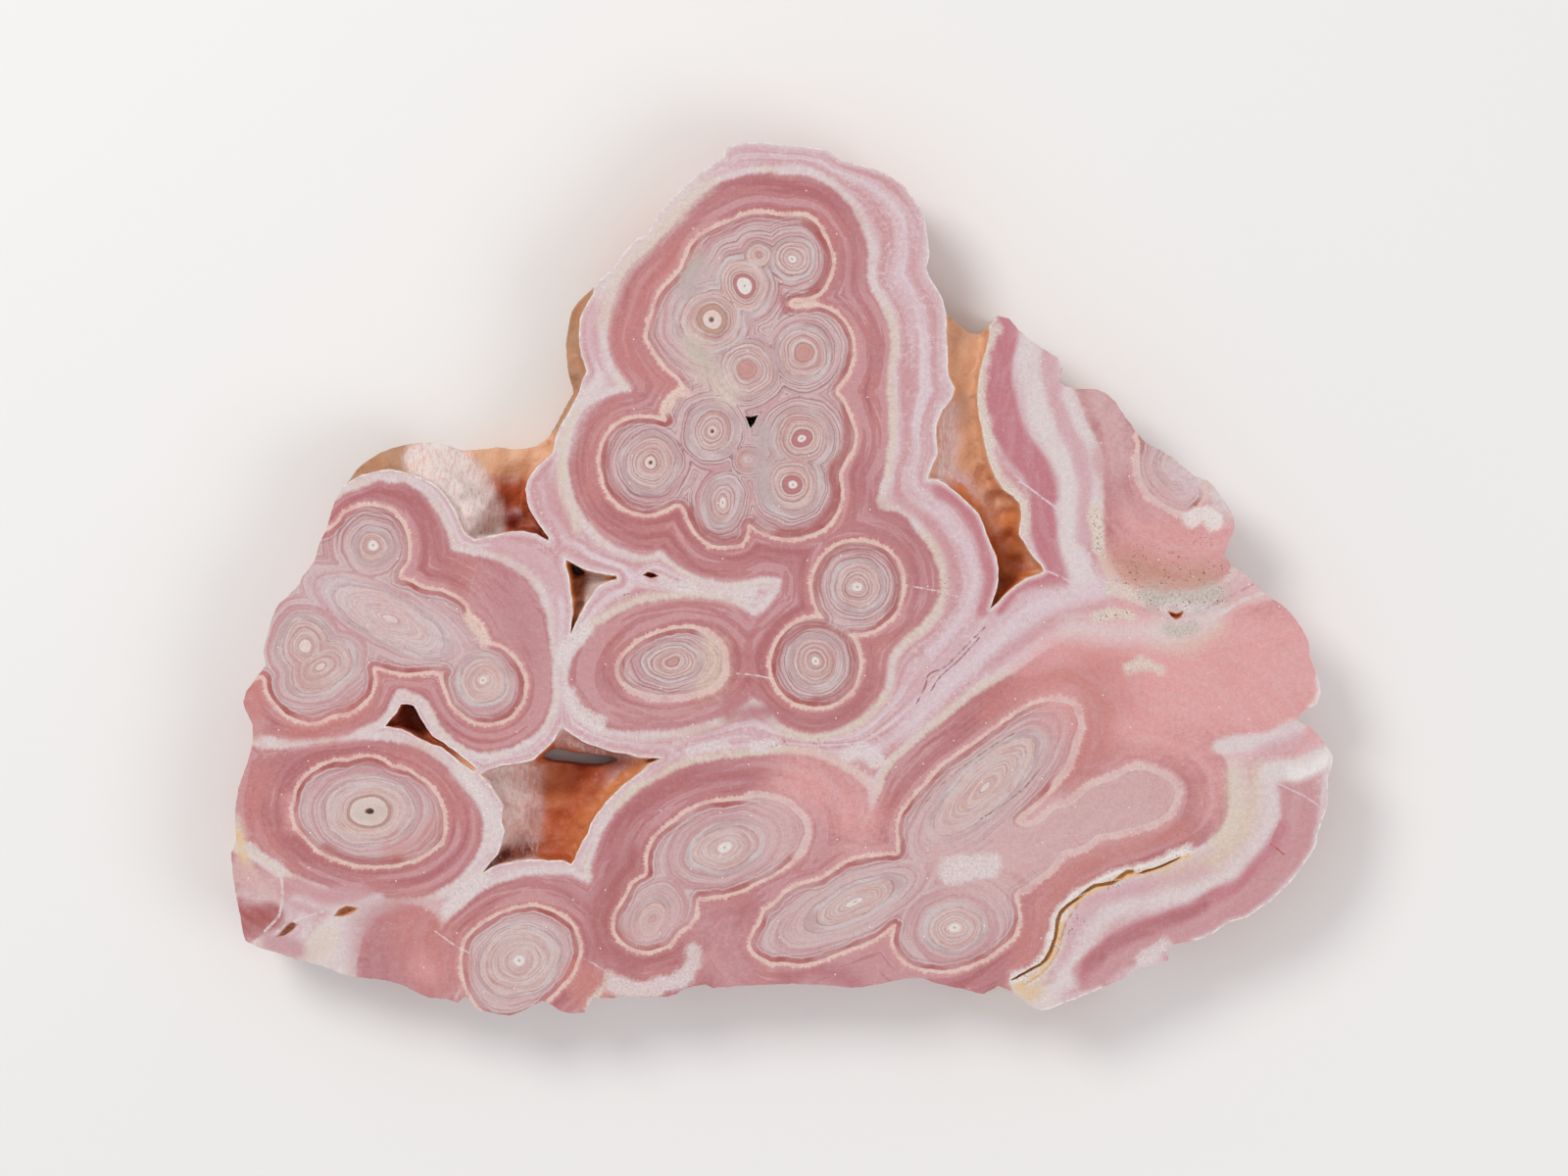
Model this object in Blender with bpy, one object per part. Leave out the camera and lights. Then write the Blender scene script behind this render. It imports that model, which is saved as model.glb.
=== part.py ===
"""Rhodochrosite slice: a slab sawn across a cluster of grown-together stalactites.

It lies on its sawn back with the polished face up. X runs along the slice, Y across it and Z up
through its thickness, with the origin under the middle of its box. It grew as one piece, so it is
one closed solid: a flat face and back, a knobbly natural rim, sunk pockets of natural skin between
the stalactites, a few gaps that go right through, and the small pits and cracks of the face.
"""

import math

import bmesh
import bpy
import numpy as np
from mathutils import Vector, noise
from mathutils.geometry import delaunay_2d_cdt

# Real sizes, in metres.
SLICE_WIDTH = 0.150
THICKNESS = 0.012
RIM_STEP = 0.00130
POCKET_STEP = 0.00110
POCKET_WALL = 0.00035
POCKET_ROUGHNESS = 0.00022
SMALLEST_GAP = 0.00016
LEAST_DEPTH = 0.0002
LEAST_FLOOR = 0.0010
BACK_INSET_LEAST = 0.00045
BACK_INSET_MOST = 0.00210
BACK_INSET_RUN = 0.0160
RIM_BULGE = 0.00020
RIM_LUMP = 0.00070
RIM_LUMP_SIZE = 0.0046
RIM_WANDER = 0.00010
RIM_BANDS = 5
STEEP_STEP = 0.0016

# The outlines below are drawn on a survey grid: x to the right, y down, and the slice between
# these four grid lines. UNIT is one step of the grid in metres.
GRID_LEFT = 236
GRID_RIGHT = 1360
GRID_TOP = 145
GRID_BOTTOM = 1036
UNIT = SLICE_WIDTH / (GRID_RIGHT - GRID_LEFT)

ROSE = (0.56, 0.20, 0.21, 1.0)
POLISH_ROUGHNESS = 0.22

OUTLINE = [
    # Left lobe, upwards.
    (281, 622), (292, 610), (306, 596), (309, 588), (320, 574), (325, 558), (333, 540),
    (341, 514), (350, 497), (360, 480), (380, 464), (404, 454), (434, 450), (458, 453),
    (469, 458), (492, 457), (505, 455), (520, 457), (545, 454), (556, 446), (565, 434),
    (572, 421), (580, 406), (585, 398),
    # Left flank of the tall lobe.
    (580, 385), (576, 360), (577, 338), (582, 316), (592, 305), (606, 292), (618, 281),
    (630, 268), (635, 259), (652, 242), (660, 239), (671, 221), (684, 205), (705, 184),
    (722, 171), (737, 161), (741, 152), (752, 147),
    # Its top and right flank.
    (773, 145), (784, 145), (800, 148), (821, 149), (849, 155), (857, 163), (882, 169),
    (900, 175), (920, 187), (930, 200), (942, 217), (947, 246), (949, 258), (945, 274),
    (949, 284), (960, 300), (966, 320), (975, 324), (986, 333), (1000, 339),
    # Right body, along its upper edge.
    (1010, 332), (1018, 322), (1030, 325), (1039, 336), (1060, 353), (1079, 365),
    (1084, 377), (1081, 390), (1099, 397), (1113, 397), (1128, 400), (1138, 409),
    (1148, 425), (1159, 440), (1168, 451), (1184, 459), (1198, 468), (1220, 486),
    (1233, 491), (1246, 506), (1260, 530), (1257, 546), (1249, 567), (1258, 578),
    (1270, 585), (1290, 605), (1305, 615), (1318, 626), (1327, 639), (1335, 655),
    (1337, 670), (1344, 690), (1348, 706), (1344, 720), (1333, 723), (1323, 734),
    (1337, 742), (1350, 756), (1360, 771), (1360, 779), (1355, 795), (1355, 820),
    (1345, 850), (1342, 865), (1324, 891), (1306, 911), (1289, 925), (1270, 937),
    (1253, 942), (1240, 951), (1222, 959), (1194, 965), (1192, 980), (1178, 984),
    (1160, 989), (1145, 999), (1120, 1010), (1090, 1022), (1064, 1031),
    # Bottom edge, from right to left.
    (1050, 1025), (1032, 1011), (1019, 1006), (1004, 1014), (987, 1010), (958, 1004),
    (942, 998), (922, 999), (893, 1005), (870, 1008), (840, 1005), (800, 1004),
    (762, 1006), (727, 1008), (720, 1004), (698, 1009), (690, 1015), (670, 1018),
    (634, 1016), (625, 1019), (605, 1018), (597, 1033), (573, 1032), (554, 1021),
    (533, 1032), (520, 1036), (500, 1033), (487, 1030), (475, 1016), (467, 1023),
    (455, 1019), (437, 1018), (412, 1006), (390, 1000), (352, 995), (330, 986),
    (310, 981), (285, 973), (262, 966), (251, 960),
    # Left edge, upwards.
    (244, 930), (239, 900), (236, 870), (241, 858), (240, 835), (243, 806), (253, 777),
    (258, 754), (258, 740), (248, 716), (258, 696), (271, 679), (269, 665), (274, 645),
]

# A pocket's edge is the line where the polished face ends. A pocket that opens at the rim of the
# slice starts and ends on the outline. Each sounding is (x, y, depth under the face in mm).
OPEN_POCKETS = {
    "upper_left_skin": {
        "edge": [
            (606, 292), (605, 300), (598, 312), (592, 326), (591, 345), (593, 362),
            (599, 379), (594, 388), (591, 400), (585, 412), (578, 424), (571, 436),
            (567, 448), (564, 462), (557, 468), (543, 482), (536, 499), (538, 513),
            (545, 527), (554, 541), (565, 555), (574, 567), (568, 560), (560, 552),
            (548, 545), (534, 542), (523, 542), (509, 545), (495, 548), (484, 551),
            (474, 543), (466, 525), (455, 506), (440, 492), (418, 484), (400, 479),
            (380, 482), (363, 487), (350, 497),
        ],
        "soundings": [
            # Bulge beside the tall lobe and the strip of skin under it.
            (597, 302, 2.0), (588, 345, 2.4), (580, 345, 4.4), (596, 380, 2.0),
            (586, 372, 3.4), (583, 395, 4.0), (582, 410, 2.4), (571, 428, 2.8),
            (560, 446, 3.6),
            # Deep skin against the two neighbours that overhang it.
            (552, 465, 4.6), (530, 462, 4.6), (500, 462, 4.4), (548, 482, 6.4),
            (541, 500, 8.0), (543, 521, 9.0), (552, 543, 9.4), (562, 555, 7.5),
            (520, 490, 6.4), (515, 515, 8.4), (525, 537, 9.4), (502, 543, 7.6),
            (489, 547, 4.6),
            # Worn slope that runs down from the face.
            (508, 520, 5.4), (500, 500, 4.4), (490, 520, 2.8), (478, 525, 1.2),
            (485, 490, 3.0), (470, 500, 1.0), (475, 470, 2.6), (455, 487, 0.8),
            (479, 541, 1.6), (460, 462, 2.2), (440, 466, 1.8), (440, 482, 0.6),
            # Crust along the rim.
            (410, 467, 2.2), (380, 473, 2.0), (361, 484, 2.0), (410, 456, 3.4),
            (385, 465, 3.4), (435, 452, 3.4), (465, 458, 3.8), (520, 458, 5.4),
            (545, 455, 5.4),
        ],
    },
    "right_channel": {
        "edge": [
            (966, 320), (966, 340), (967, 355), (967, 370), (969, 385), (975, 397),
            (972, 405), (967, 412), (961, 420), (956, 432), (956, 450), (957, 462),
            (951, 476), (946, 489), (957, 489), (968, 496), (980, 506), (992, 517),
            (999, 525), (1008, 548), (1015, 564), (1019, 580), (1018, 599), (1014, 612),
            (1010, 622), (1018, 615), (1031, 602), (1048, 590), (1066, 583), (1056, 570),
            (1047, 556), (1040, 545), (1042, 530), (1041, 514), (1034, 506), (1024, 499),
            (1016, 487), (1011, 475), (1006, 458), (1002, 438), (998, 415), (998, 395),
            (1001, 375), (1007, 355), (1010, 342), (1010, 332),
        ],
        "soundings": [
            (975, 330, 4.4), (995, 341, 4.4), (985, 360, 2.8), (972, 380, 2.4),
            (995, 385, 3.2), (985, 410, 3.0), (968, 430, 3.2), (995, 430, 4.0),
            (975, 460, 3.8), (955, 481, 2.0), (965, 487, 3.0), (1000, 470, 5.0),
            (985, 495, 4.4), (1005, 500, 5.4), (1010, 486, 7.0), (1000, 518, 5.4),
            (1020, 507, 7.6), (1015, 540, 6.4), (1027, 525, 8.0), (1035, 550, 9.0),
            (1022, 565, 8.4), (1038, 575, 10.0), (1024, 595, 10.4), (1016, 610, 8.0),
            (1035, 513, 3.4), (1037, 530, 4.6), (1046, 563, 4.0), (1056, 575, 2.4),
            (1045, 584, 5.0), (1034, 594, 7.0),
        ],
    },
}

CLOSED_POCKETS = {
    "great_pocket": {
        "edge": [
            (490, 790), (497, 797), (503, 805), (509, 814), (513, 822), (512, 840),
            (515, 848), (512, 858), (508, 872), (500, 880), (492, 891), (500, 886),
            (510, 882), (520, 880), (540, 877), (560, 878), (575, 878), (583, 882),
            (590, 868), (595, 858), (600, 850), (603, 840), (608, 832), (616, 822),
            (625, 812), (634, 803), (645, 795), (655, 787), (664, 779), (675, 774),
            (652, 773), (640, 769), (625, 767), (610, 762), (595, 757), (585, 750),
            (573, 742), (566, 755), (555, 766), (545, 775), (535, 778), (520, 780),
            (505, 783),
        ],
        "soundings": [
            # Wall of the left stalactite, which leans under the pocket.
            (516, 835, 1.0), (530, 835, 4.0), (548, 835, 8.0), (513, 862, 2.6),
            (530, 866, 6.4), (505, 803, 2.4), (515, 799, 4.6), (530, 795, 7.0),
            (543, 787, 8.8),
            # Skin of the right stalactite.
            (570, 840, 8.0), (560, 868, 7.0), (580, 871, 6.0), (590, 850, 5.0),
            (598, 840, 3.0), (585, 825, 6.4), (600, 820, 4.6), (612, 815, 3.0),
            (605, 800, 6.4), (625, 800, 3.4), (640, 790, 2.6), (655, 781, 2.4),
            (625, 787, 5.6), (640, 777, 5.0), (580, 800, 9.0), (560, 800, 9.4),
            (590, 785, 9.8), (565, 785, 9.8), (547, 777, 8.4),
            # Wall of the stalactite above, and the far corner.
            (573, 749, 2.6), (580, 759, 6.0), (595, 765, 7.0), (566, 763, 7.4),
            (610, 770, 7.6), (625, 774, 8.4), (500, 883, 5.6), (510, 877, 7.8),
            (530, 873, 8.0),
        ],
    },
    "left_pocket": {
        "edge": [
            (393, 741), (398, 735), (405, 727), (409, 718), (415, 718), (422, 720),
            (425, 724), (428, 731), (433, 739), (441, 751), (453, 758), (470, 771),
            (487, 785), (484, 788), (467, 776), (450, 762), (440, 759), (425, 752),
            (410, 744),
        ],
        "soundings": [
            (400, 738, 4.0), (410, 730, 6.4), (418, 735, 8.0), (425, 745, 7.0),
            (440, 755, 3.0), (452, 761, 1.6), (470, 774, 1.2), (485, 786, 1.0),
        ],
    },
    "middle_pocket": {
        "edge": [
            (577, 571), (585, 575), (599, 582), (618, 586), (636, 588), (630, 591),
            (612, 597), (602, 610), (593, 625), (586, 639), (582, 648), (583, 636),
            (585, 625), (583, 608), (581, 589), (578, 578),
        ],
        "soundings": [
            (584, 581, 9.0), (586, 600, 8.0), (589, 618, 6.0), (586, 634, 3.0),
            (596, 592, 6.4), (605, 588, 5.0), (620, 589, 2.4), (600, 600, 4.0),
            (606, 599, 1.8), (599, 611, 1.8), (592, 624, 1.6), (612, 593, 2.4),
        ],
    },
    "seam_slit": {
        "edge": [(655, 587), (661, 583), (668, 585), (673, 588), (664, 590)],
        "soundings": [(664, 586, 3.6)],
    },
    "orange_pit_right": {
        "edge": [(1191, 623), (1200, 626), (1209, 623), (1206, 630), (1200, 633), (1195, 629)],
        "soundings": [(1200, 629, 2.2)],
    },
    "orange_pit_left": {
        "edge": [(340, 935), (345, 928), (353, 924), (367, 926), (361, 932), (350, 936)],
        "soundings": [(353, 930, 2.2)],
    },
    "orange_pit_corner": {
        "edge": [(281, 957), (290, 946), (297, 940), (305, 943), (298, 951), (289, 956)],
        "soundings": [(293, 949, 2.2)],
    },
}

# Gaps right through the slab. The first is in the polished face, the others in a pocket's floor.
THROUGH_GAPS = {
    "star_gap": [(760, 424), (767, 425), (774, 423), (770, 431), (766, 437), (763, 430)],
    "great_pocket_gap": [
        (549, 775), (556, 769), (563, 766), (572, 768), (582, 771), (600, 772),
        (618, 775), (630, 777), (620, 781), (605, 783), (590, 782), (575, 780), (560, 779),
    ],
    "middle_pocket_gap": [(581, 576), (589, 580), (595, 584), (588, 586), (583, 584)],
}

# The crumbling crack near the lower right edge: its middle line, and its width in grid steps.
CRACK_LINE = [
    (1031, 1001), (1055, 988), (1068, 979), (1077, 957), (1082, 932), (1100, 917),
    (1117, 904), (1136, 901), (1150, 890), (1167, 890), (1188, 883), (1212, 871),
]
CRACK_WIDTHS = [2.0, 3.5, 5.0, 4.0, 5.0, 4.0, 5.0, 4.5, 6.0, 3.5, 3.0, 1.6]
CRACK_DEPTH_MM = 1.8

# Drip canals down the middle of the stalactites: x, y, half width, half height, depth in mm.
CANALS = [
    (726, 326, 3.4, 3.4, 1.8),
    (727, 440, 2.8, 2.8, 1.6),
    (664, 472, 2.6, 2.6, 1.6),
    (377, 828, 5.2, 3.6, 2.4),
]
CANAL_SIDES = 8


def on_slice(point):
    """Grid point to metres, with the origin in the middle of the slice."""
    x = (point[0] - (GRID_LEFT + GRID_RIGHT) / 2) * UNIT
    y = ((GRID_TOP + GRID_BOTTOM) / 2 - point[1]) * UNIT
    return (x, y)


def rounded(points, closed, step):
    """A Catmull-Rom curve through the points, which stay on it, with a vertex every step."""
    places = [np.array(point, float) for point in points]
    count = len(places)
    path = []
    for i in range(count if closed else count - 1):
        start, end = places[i], places[(i + 1) % count]
        before = places[i - 1] if closed or i else start
        after = places[(i + 2) % count] if closed or i + 2 < count else end
        pieces = max(1, round(np.linalg.norm(end - start) / step))
        for k in range(pieces):
            t = k / pieces
            pull_in = 0.5 * (end - before)
            pull_out = 0.5 * (after - start)
            path.append(
                (2 * t**3 - 3 * t**2 + 1) * start
                + (t**3 - 2 * t**2 + t) * pull_in
                + (3 * t**2 - 2 * t**3) * end
                + (t**3 - t**2) * pull_out
            )
    if not closed:
        path.append(places[-1])
    return np.array(path)


def outward_normals(loop):
    """Unit normals of a closed loop that runs clockwise seen from above."""
    along = np.roll(loop, -1, axis=0) - np.roll(loop, 1, axis=0)
    along /= np.linalg.norm(along, axis=1)[:, None]
    return np.column_stack([-along[:, 1], along[:, 0]])


def inside(loop, points):
    """Which of the points lie inside the closed loop."""
    found = np.zeros(len(points), bool)
    for (ax, ay), (bx, by) in zip(loop, np.roll(loop, -1, axis=0)):
        spans = (ay > points[:, 1]) != (by > points[:, 1])
        run = np.where(spans, points[:, 1] - ay, 0.0) / (by - ay if by != ay else 1.0)
        found ^= spans & (points[:, 0] < ax + run * (bx - ax))
    return found


def clearance(points, loops):
    """Distance from each point to the nearest segment of the closed loops."""
    nearest = np.full(len(points), np.inf)
    for loop in loops:
        for a, b in zip(loop, np.roll(loop, -1, axis=0)):
            ab = b - a
            t = np.clip(((points - a) @ ab) / max(ab @ ab, 1e-18), 0, 1)
            gap = np.linalg.norm(points - a - t[:, None] * ab, axis=1)
            nearest = np.minimum(nearest, gap)
    return nearest


def width_along(origin, direction, loops):
    """How far a ray runs from a loop before it meets a segment of the loops."""
    nearest = math.inf
    for loop in loops:
        starts = loop
        spans = np.roll(loop, -1, axis=0) - loop
        cross = direction[0] * spans[:, 1] - direction[1] * spans[:, 0]
        offset = starts - origin
        with np.errstate(divide="ignore", invalid="ignore"):
            ray = (offset[:, 0] * spans[:, 1] - offset[:, 1] * spans[:, 0]) / cross
            run = (offset[:, 0] * direction[1] - offset[:, 1] * direction[0]) / cross
        met = ray[(ray > 1e-6) & (run >= 0) & (run <= 1)]
        if len(met):
            nearest = min(nearest, met.min())
    return nearest


def signed_area(loop):
    ahead = np.roll(loop, -1, axis=0)
    return 0.5 * np.sum(loop[:, 0] * ahead[:, 1] - ahead[:, 0] * loop[:, 1])


def clockwise(loop):
    return loop if signed_area(loop) < 0 else loop[::-1]


def wandering(loop):
    """The loop with the fine unevenness of a natural rim."""
    normals = outward_normals(loop)
    shifts = [noise.noise(Vector((x, y, 0.0)) / 0.0016) for x, y in loop]
    return loop + normals * (RIM_WANDER * np.array(shifts))[:, None]


def sounded_depth(points, soundings):
    """Depth under the face at each point, blended between the soundings."""
    places = np.array([on_slice(mark) for mark in soundings])
    depths = np.array([mark[2] for mark in soundings]) / 1000
    gaps = np.linalg.norm(points[:, None] - places[None], axis=2) + 1e-5
    weights = gaps**-2.6
    return (weights @ depths) / weights.sum(axis=1)


def roughened(points, depths):
    """The same depths with the bumps of natural skin, fading out where the pocket is shallow."""
    bumps = []
    for (x, y), depth in zip(points, depths):
        near = noise.voronoi(Vector((x, y, 0.013)) / 0.0022)[0][0]
        bumps.append((near - 0.45) * POCKET_ROUGHNESS * 2 * min(1.0, depth / 0.0015))
    return depths + np.array(bumps)


def skin_height(points, soundings):
    """Height of a pocket's skin above the back."""
    depths = roughened(points, sounded_depth(points, soundings))
    return THICKNESS - np.clip(depths, LEAST_DEPTH, THICKNESS - LEAST_FLOOR)


def ribbon(line, widths):
    """A closed loop around a line, with the given widths."""
    line = np.array(line, float)
    along = np.gradient(line, axis=0)
    along /= np.linalg.norm(along, axis=1)[:, None]
    side = np.column_stack([-along[:, 1], along[:, 0]]) * np.array(widths)[:, None] / 2
    return [tuple(point) for point in np.vstack([line + side, (line - side)[::-1]])]


def canal_edge(x, y, half_width, half_height):
    turns = [2 * math.pi * k / CANAL_SIDES for k in range(CANAL_SIDES)]
    return [(x + half_width * math.cos(a), y + half_height * math.sin(a)) for a in turns]


def small_pockets():
    """The crack and the drip canals, described as the closed pockets are."""
    middle = [(x, y, CRACK_DEPTH_MM) for x, y in CRACK_LINE]
    found = {"crack": {"edge": ribbon(CRACK_LINE, CRACK_WIDTHS), "soundings": middle}}
    for k, (x, y, half_width, half_height, depth) in enumerate(CANALS):
        edge = canal_edge(x, y, half_width, half_height)
        found[f"canal_{k}"] = {"edge": edge, "soundings": [(x, y, depth)]}
    return found


class Surface:
    """Points with heights, and the edges that its triangles must keep."""

    def __init__(self):
        self.points = []
        self.heights = []
        self.edges = []

    def add(self, points, heights):
        first = len(self.points)
        self.points.extend(points)
        self.heights.extend(heights)
        return list(range(first, len(self.points)))

    def join(self, indices, closed):
        ends = indices[1:] + indices[:1] if closed else indices[1:]
        self.edges.extend(zip(indices, ends))

    def triangles(self, keep):
        """Triangles between the points, those whose middle passes the test keep."""
        flat = [Vector(point) * 1000 for point in self.points]
        made = delaunay_2d_cdt(flat, self.edges, [], 0, 1e-5)
        if len(made[0]) != len(flat):
            raise RuntimeError("two outlines cross or touch")
        source = [origins[0] for origins in made[3]]
        corners = np.array([[source[i] for i in face] for face in made[2]])
        middles = np.array(self.points)[corners].mean(axis=1)
        return corners[keep(middles)]


def stretch_of(rim, start, end):
    """Rim indices from start to end, the shorter way round."""
    count = len(rim)
    ahead = [(start + k) % count for k in range((end - start) % count + 1)]
    back = [(start - k) % count for k in range((start - end) % count + 1)]
    return ahead if len(ahead) < len(back) else back


def nearest_on(rim, point):
    return int(np.argmin(np.linalg.norm(rim - np.array(on_slice(point)), axis=1)))


def pocket_floor(edge, soundings, holes):
    """Points inside a pocket with their heights: a row beside its edge, then an even spread."""
    spots = []
    for index, place in enumerate(edge):
        along = edge[(index + 1) % len(edge)] - edge[index - 1]
        inward = np.array([along[1], -along[0]]) / np.linalg.norm(along)
        width = width_along(place, inward, [edge])
        spots.append(place + inward * min(POCKET_WALL, 0.45 * width))
    low, high = edge.min(axis=0), edge.max(axis=0)
    for j, y in enumerate(np.arange(low[1], high[1], POCKET_STEP * math.sqrt(3) / 2)):
        for x in np.arange(low[0] + (j % 2) * POCKET_STEP / 2, high[0], POCKET_STEP):
            spots.append(np.array([x, y]))
    spots = np.array(spots)
    spots = spots[inside(edge, spots)]
    spots = spots[clearance(spots, [edge]) > SMALLEST_GAP]
    for hole in holes:
        spots = spots[(clearance(spots, [hole]) > POCKET_WALL) & ~inside(hole, spots)]
    spreads = np.where(clearance(spots, [edge]) > 2 * POCKET_WALL, 0.6 * POCKET_STEP, 0.8 * POCKET_WALL)
    kept = []
    for spot, spread in zip(spots, spreads):
        if all(np.linalg.norm(spot - other) > spread for other in kept):
            kept.append(spot)
    kept = np.array(kept)
    return kept, skin_height(kept, soundings)


def rim_lump(x, y, z):
    """Outward shift of the natural rim at a point: rounded knobs with furrows between them."""
    near = noise.voronoi(Vector((x, y, z)) / RIM_LUMP_SIZE)[0][0]
    return RIM_LUMP * (0.35 - 1.5 * near)


def softened(loop, rounds):
    """The loop, or a value at each of its vertices, with its small bends worn away."""
    for _ in range(rounds):
        loop = (np.roll(loop, 1, axis=0) + 2 * loop + np.roll(loop, -1, axis=0)) / 4
    return loop


def back_insets(rim):
    """How far the back is set in at each rim vertex: the stalactites lean, so it comes and goes.

    It is less where the slab is narrow.
    """
    normals = outward_normals(rim)
    widths = np.array([width_along(rim[i], -normals[i], [rim]) for i in range(len(rim))])
    lean = [noise.noise(Vector((x, y, 0.031)) / BACK_INSET_RUN) for x, y in rim]
    lean = np.clip(0.5 + 1.1 * np.array(lean), 0, 1)
    inset = BACK_INSET_LEAST + (BACK_INSET_MOST - BACK_INSET_LEAST) * lean
    inset = np.minimum(inset, 0.10 * widths)
    for _ in range(4):
        inset = np.minimum(inset, (np.roll(inset, 1) + inset + np.roll(inset, -1)) / 3)
    return inset


def untangled(rim, shifts):
    """The shifts, less wherever a stretch of the shifted rim would shrink or turn back on itself."""
    spans = np.roll(rim, -1, axis=0) - rim
    for _ in range(60):
        moved = rim + shifts
        new_spans = np.roll(moved, -1, axis=0) - moved
        tight = (spans * new_spans).sum(axis=1) < 0.35 * (spans**2).sum(axis=1)
        tight |= np.roll(tight, 1)
        if not tight.any():
            break
        shifts = np.where(tight[:, None], 0.8 * shifts, shifts)
    return shifts


def rim_rings(rim, heights):
    """Rings of the rim from the polished edge down to the back.

    The rim keeps straight down where its upper edge steps from the face into a pocket.
    """
    normals = outward_normals(rim)
    insets = back_insets(rim)
    heights = np.array(heights)
    steps = np.abs(np.roll(heights, -1) - heights)
    steps = np.maximum(steps, np.roll(steps, 1))
    steady = 1 - np.clip(np.max([np.roll(steps, k) for k in (-1, 0, 1)], axis=0) / STEEP_STEP, 0, 1)
    rings = []
    for band in range(1, RIM_BANDS + 1):
        down = band / RIM_BANDS
        levels = heights * (1 - down)
        worn = np.minimum(((softened(rim, 3 * band) - rim) * normals).sum(axis=1), 0.0)
        lumps = np.array([rim_lump(x, y, z) for (x, y), z in zip(rim, levels)])
        calm = np.minimum(1.0, insets / BACK_INSET_LEAST)
        out = RIM_BULGE * math.sin(math.pi * down) - insets * down**2
        out = out + calm * (lumps * math.sin(math.pi * (0.2 + 0.7 * down)) + 0.7 * worn)
        out = softened(np.minimum(out, RIM_BULGE), 2) * steady
        shifts = untangled(rim, normals * out[:, None])
        rings.append(np.column_stack([rim + shifts, levels]))
    return rings


def all_pockets(rim):
    """Each pocket's closed edge, its soundings, and the rim vertices that it starts and ends on."""
    closed = {**CLOSED_POCKETS, **small_pockets()}
    for pocket in closed.values():
        edge = rounded([on_slice(point) for point in pocket["edge"]], True, RIM_STEP)
        yield clockwise(edge), pocket["soundings"], edge, None
    for pocket in OPEN_POCKETS.values():
        start = nearest_on(rim, pocket["edge"][0])
        end = nearest_on(rim, pocket["edge"][-1])
        own = [on_slice(point) for point in pocket["edge"][1:-1]]
        path = rounded([rim[start], *own, rim[end]], False, RIM_STEP)
        shore = stretch_of(rim, end, start)
        edge = np.vstack([path, rim[shore[1:-1]]])
        yield clockwise(edge), pocket["soundings"], path[1:-1], shore


def add_face(surface, rim):
    """Puts the polished face, its pockets and its gaps on the surface.

    Returns the rows of the rim and of the gaps, and the gaps' loops.
    """
    gap_loops = [clockwise(rounded([on_slice(point) for point in gap], True, RIM_STEP))
                 for gap in THROUGH_GAPS.values()]
    gap_heights = [np.full(len(loop), THICKNESS) for loop in gap_loops]
    rim_heights = np.full(len(rim), THICKNESS)
    pockets = list(all_pockets(rim))
    for edge, soundings, _, shore in pockets:
        if shore:
            skin = shore[1:-1]
            rim_heights[skin] = skin_height(rim[skin], soundings)
        for k, loop in enumerate(gap_loops):
            if inside(edge, loop[:1])[0]:
                gap_heights[k] = THICKNESS - sounded_depth(loop, soundings)
    rim_row = surface.add(rim, rim_heights)
    surface.join(rim_row, True)
    for edge, soundings, line, shore in pockets:
        row = surface.add(line, [THICKNESS] * len(line))
        if shore:
            surface.join([rim_row[shore[-1]], *row, rim_row[shore[0]]], False)
        else:
            surface.join(row, True)
        holes = [loop for loop in gap_loops if inside(edge, loop[:1])[0]]
        surface.add(*pocket_floor(edge, soundings, holes))
    gap_rows = [surface.add(loop, heights) for loop, heights in zip(gap_loops, gap_heights)]
    for row in gap_rows:
        surface.join(row, True)
    return rim_row, gap_rows, gap_loops


def solid_part(rim, gap_loops):
    """A test for the places that lie within the rim and outside every gap."""

    def kept(places):
        found = inside(rim, places)
        for loop in gap_loops:
            found &= ~inside(loop, places)
        return found

    return kept


def wall(mesh, upper, lower):
    """A closed band of triangles between two rings of vertices."""
    count = len(upper)
    for i in range(count):
        k = (i + 1) % count
        mesh.faces.new((upper[i], upper[k], lower[i]))
        mesh.faces.new((upper[k], lower[k], lower[i]))


def slice_mesh():
    rim = wandering(clockwise(rounded([on_slice(point) for point in OUTLINE], True, RIM_STEP)))
    face = Surface()
    rim_row, gap_rows, gap_loops = add_face(face, rim)
    mesh = bmesh.new()
    top = [mesh.verts.new((x, y, z)) for (x, y), z in zip(face.points, face.heights)]
    for corners in face.triangles(solid_part(rim, gap_loops)):
        mesh.faces.new([top[i] for i in corners])

    ring = [top[i] for i in rim_row]
    for places in rim_rings(rim, [face.heights[i] for i in rim_row]):
        below = [mesh.verts.new(place) for place in places]
        wall(mesh, ring, below)
        ring = below

    back = Surface()
    back_rim = np.array([vert.co[:2] for vert in ring])
    back.join(back.add(back_rim, [0.0] * len(back_rim)), True)
    for row, loop in zip(gap_rows, gap_loops):
        back.join(back.add(loop, [0.0] * len(loop)), True)
        lower = [mesh.verts.new((x, y, 0.0)) for x, y in loop]
        wall(mesh, [top[i] for i in row], lower)
        ring += lower
    for corners in back.triangles(solid_part(back_rim, gap_loops)):
        mesh.faces.new([ring[i] for i in corners])
    bmesh.ops.recalc_face_normals(mesh, faces=mesh.faces)
    centre(mesh)
    return mesh


def centre(mesh):
    """Moves the slice so that the origin is under the middle of its box."""
    sides = np.array([vert.co[:2] for vert in mesh.verts])
    middle = (sides.min(axis=0) + sides.max(axis=0)) / 2
    bmesh.ops.translate(mesh, verts=mesh.verts, vec=(-middle[0], -middle[1], 0.0))


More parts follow.
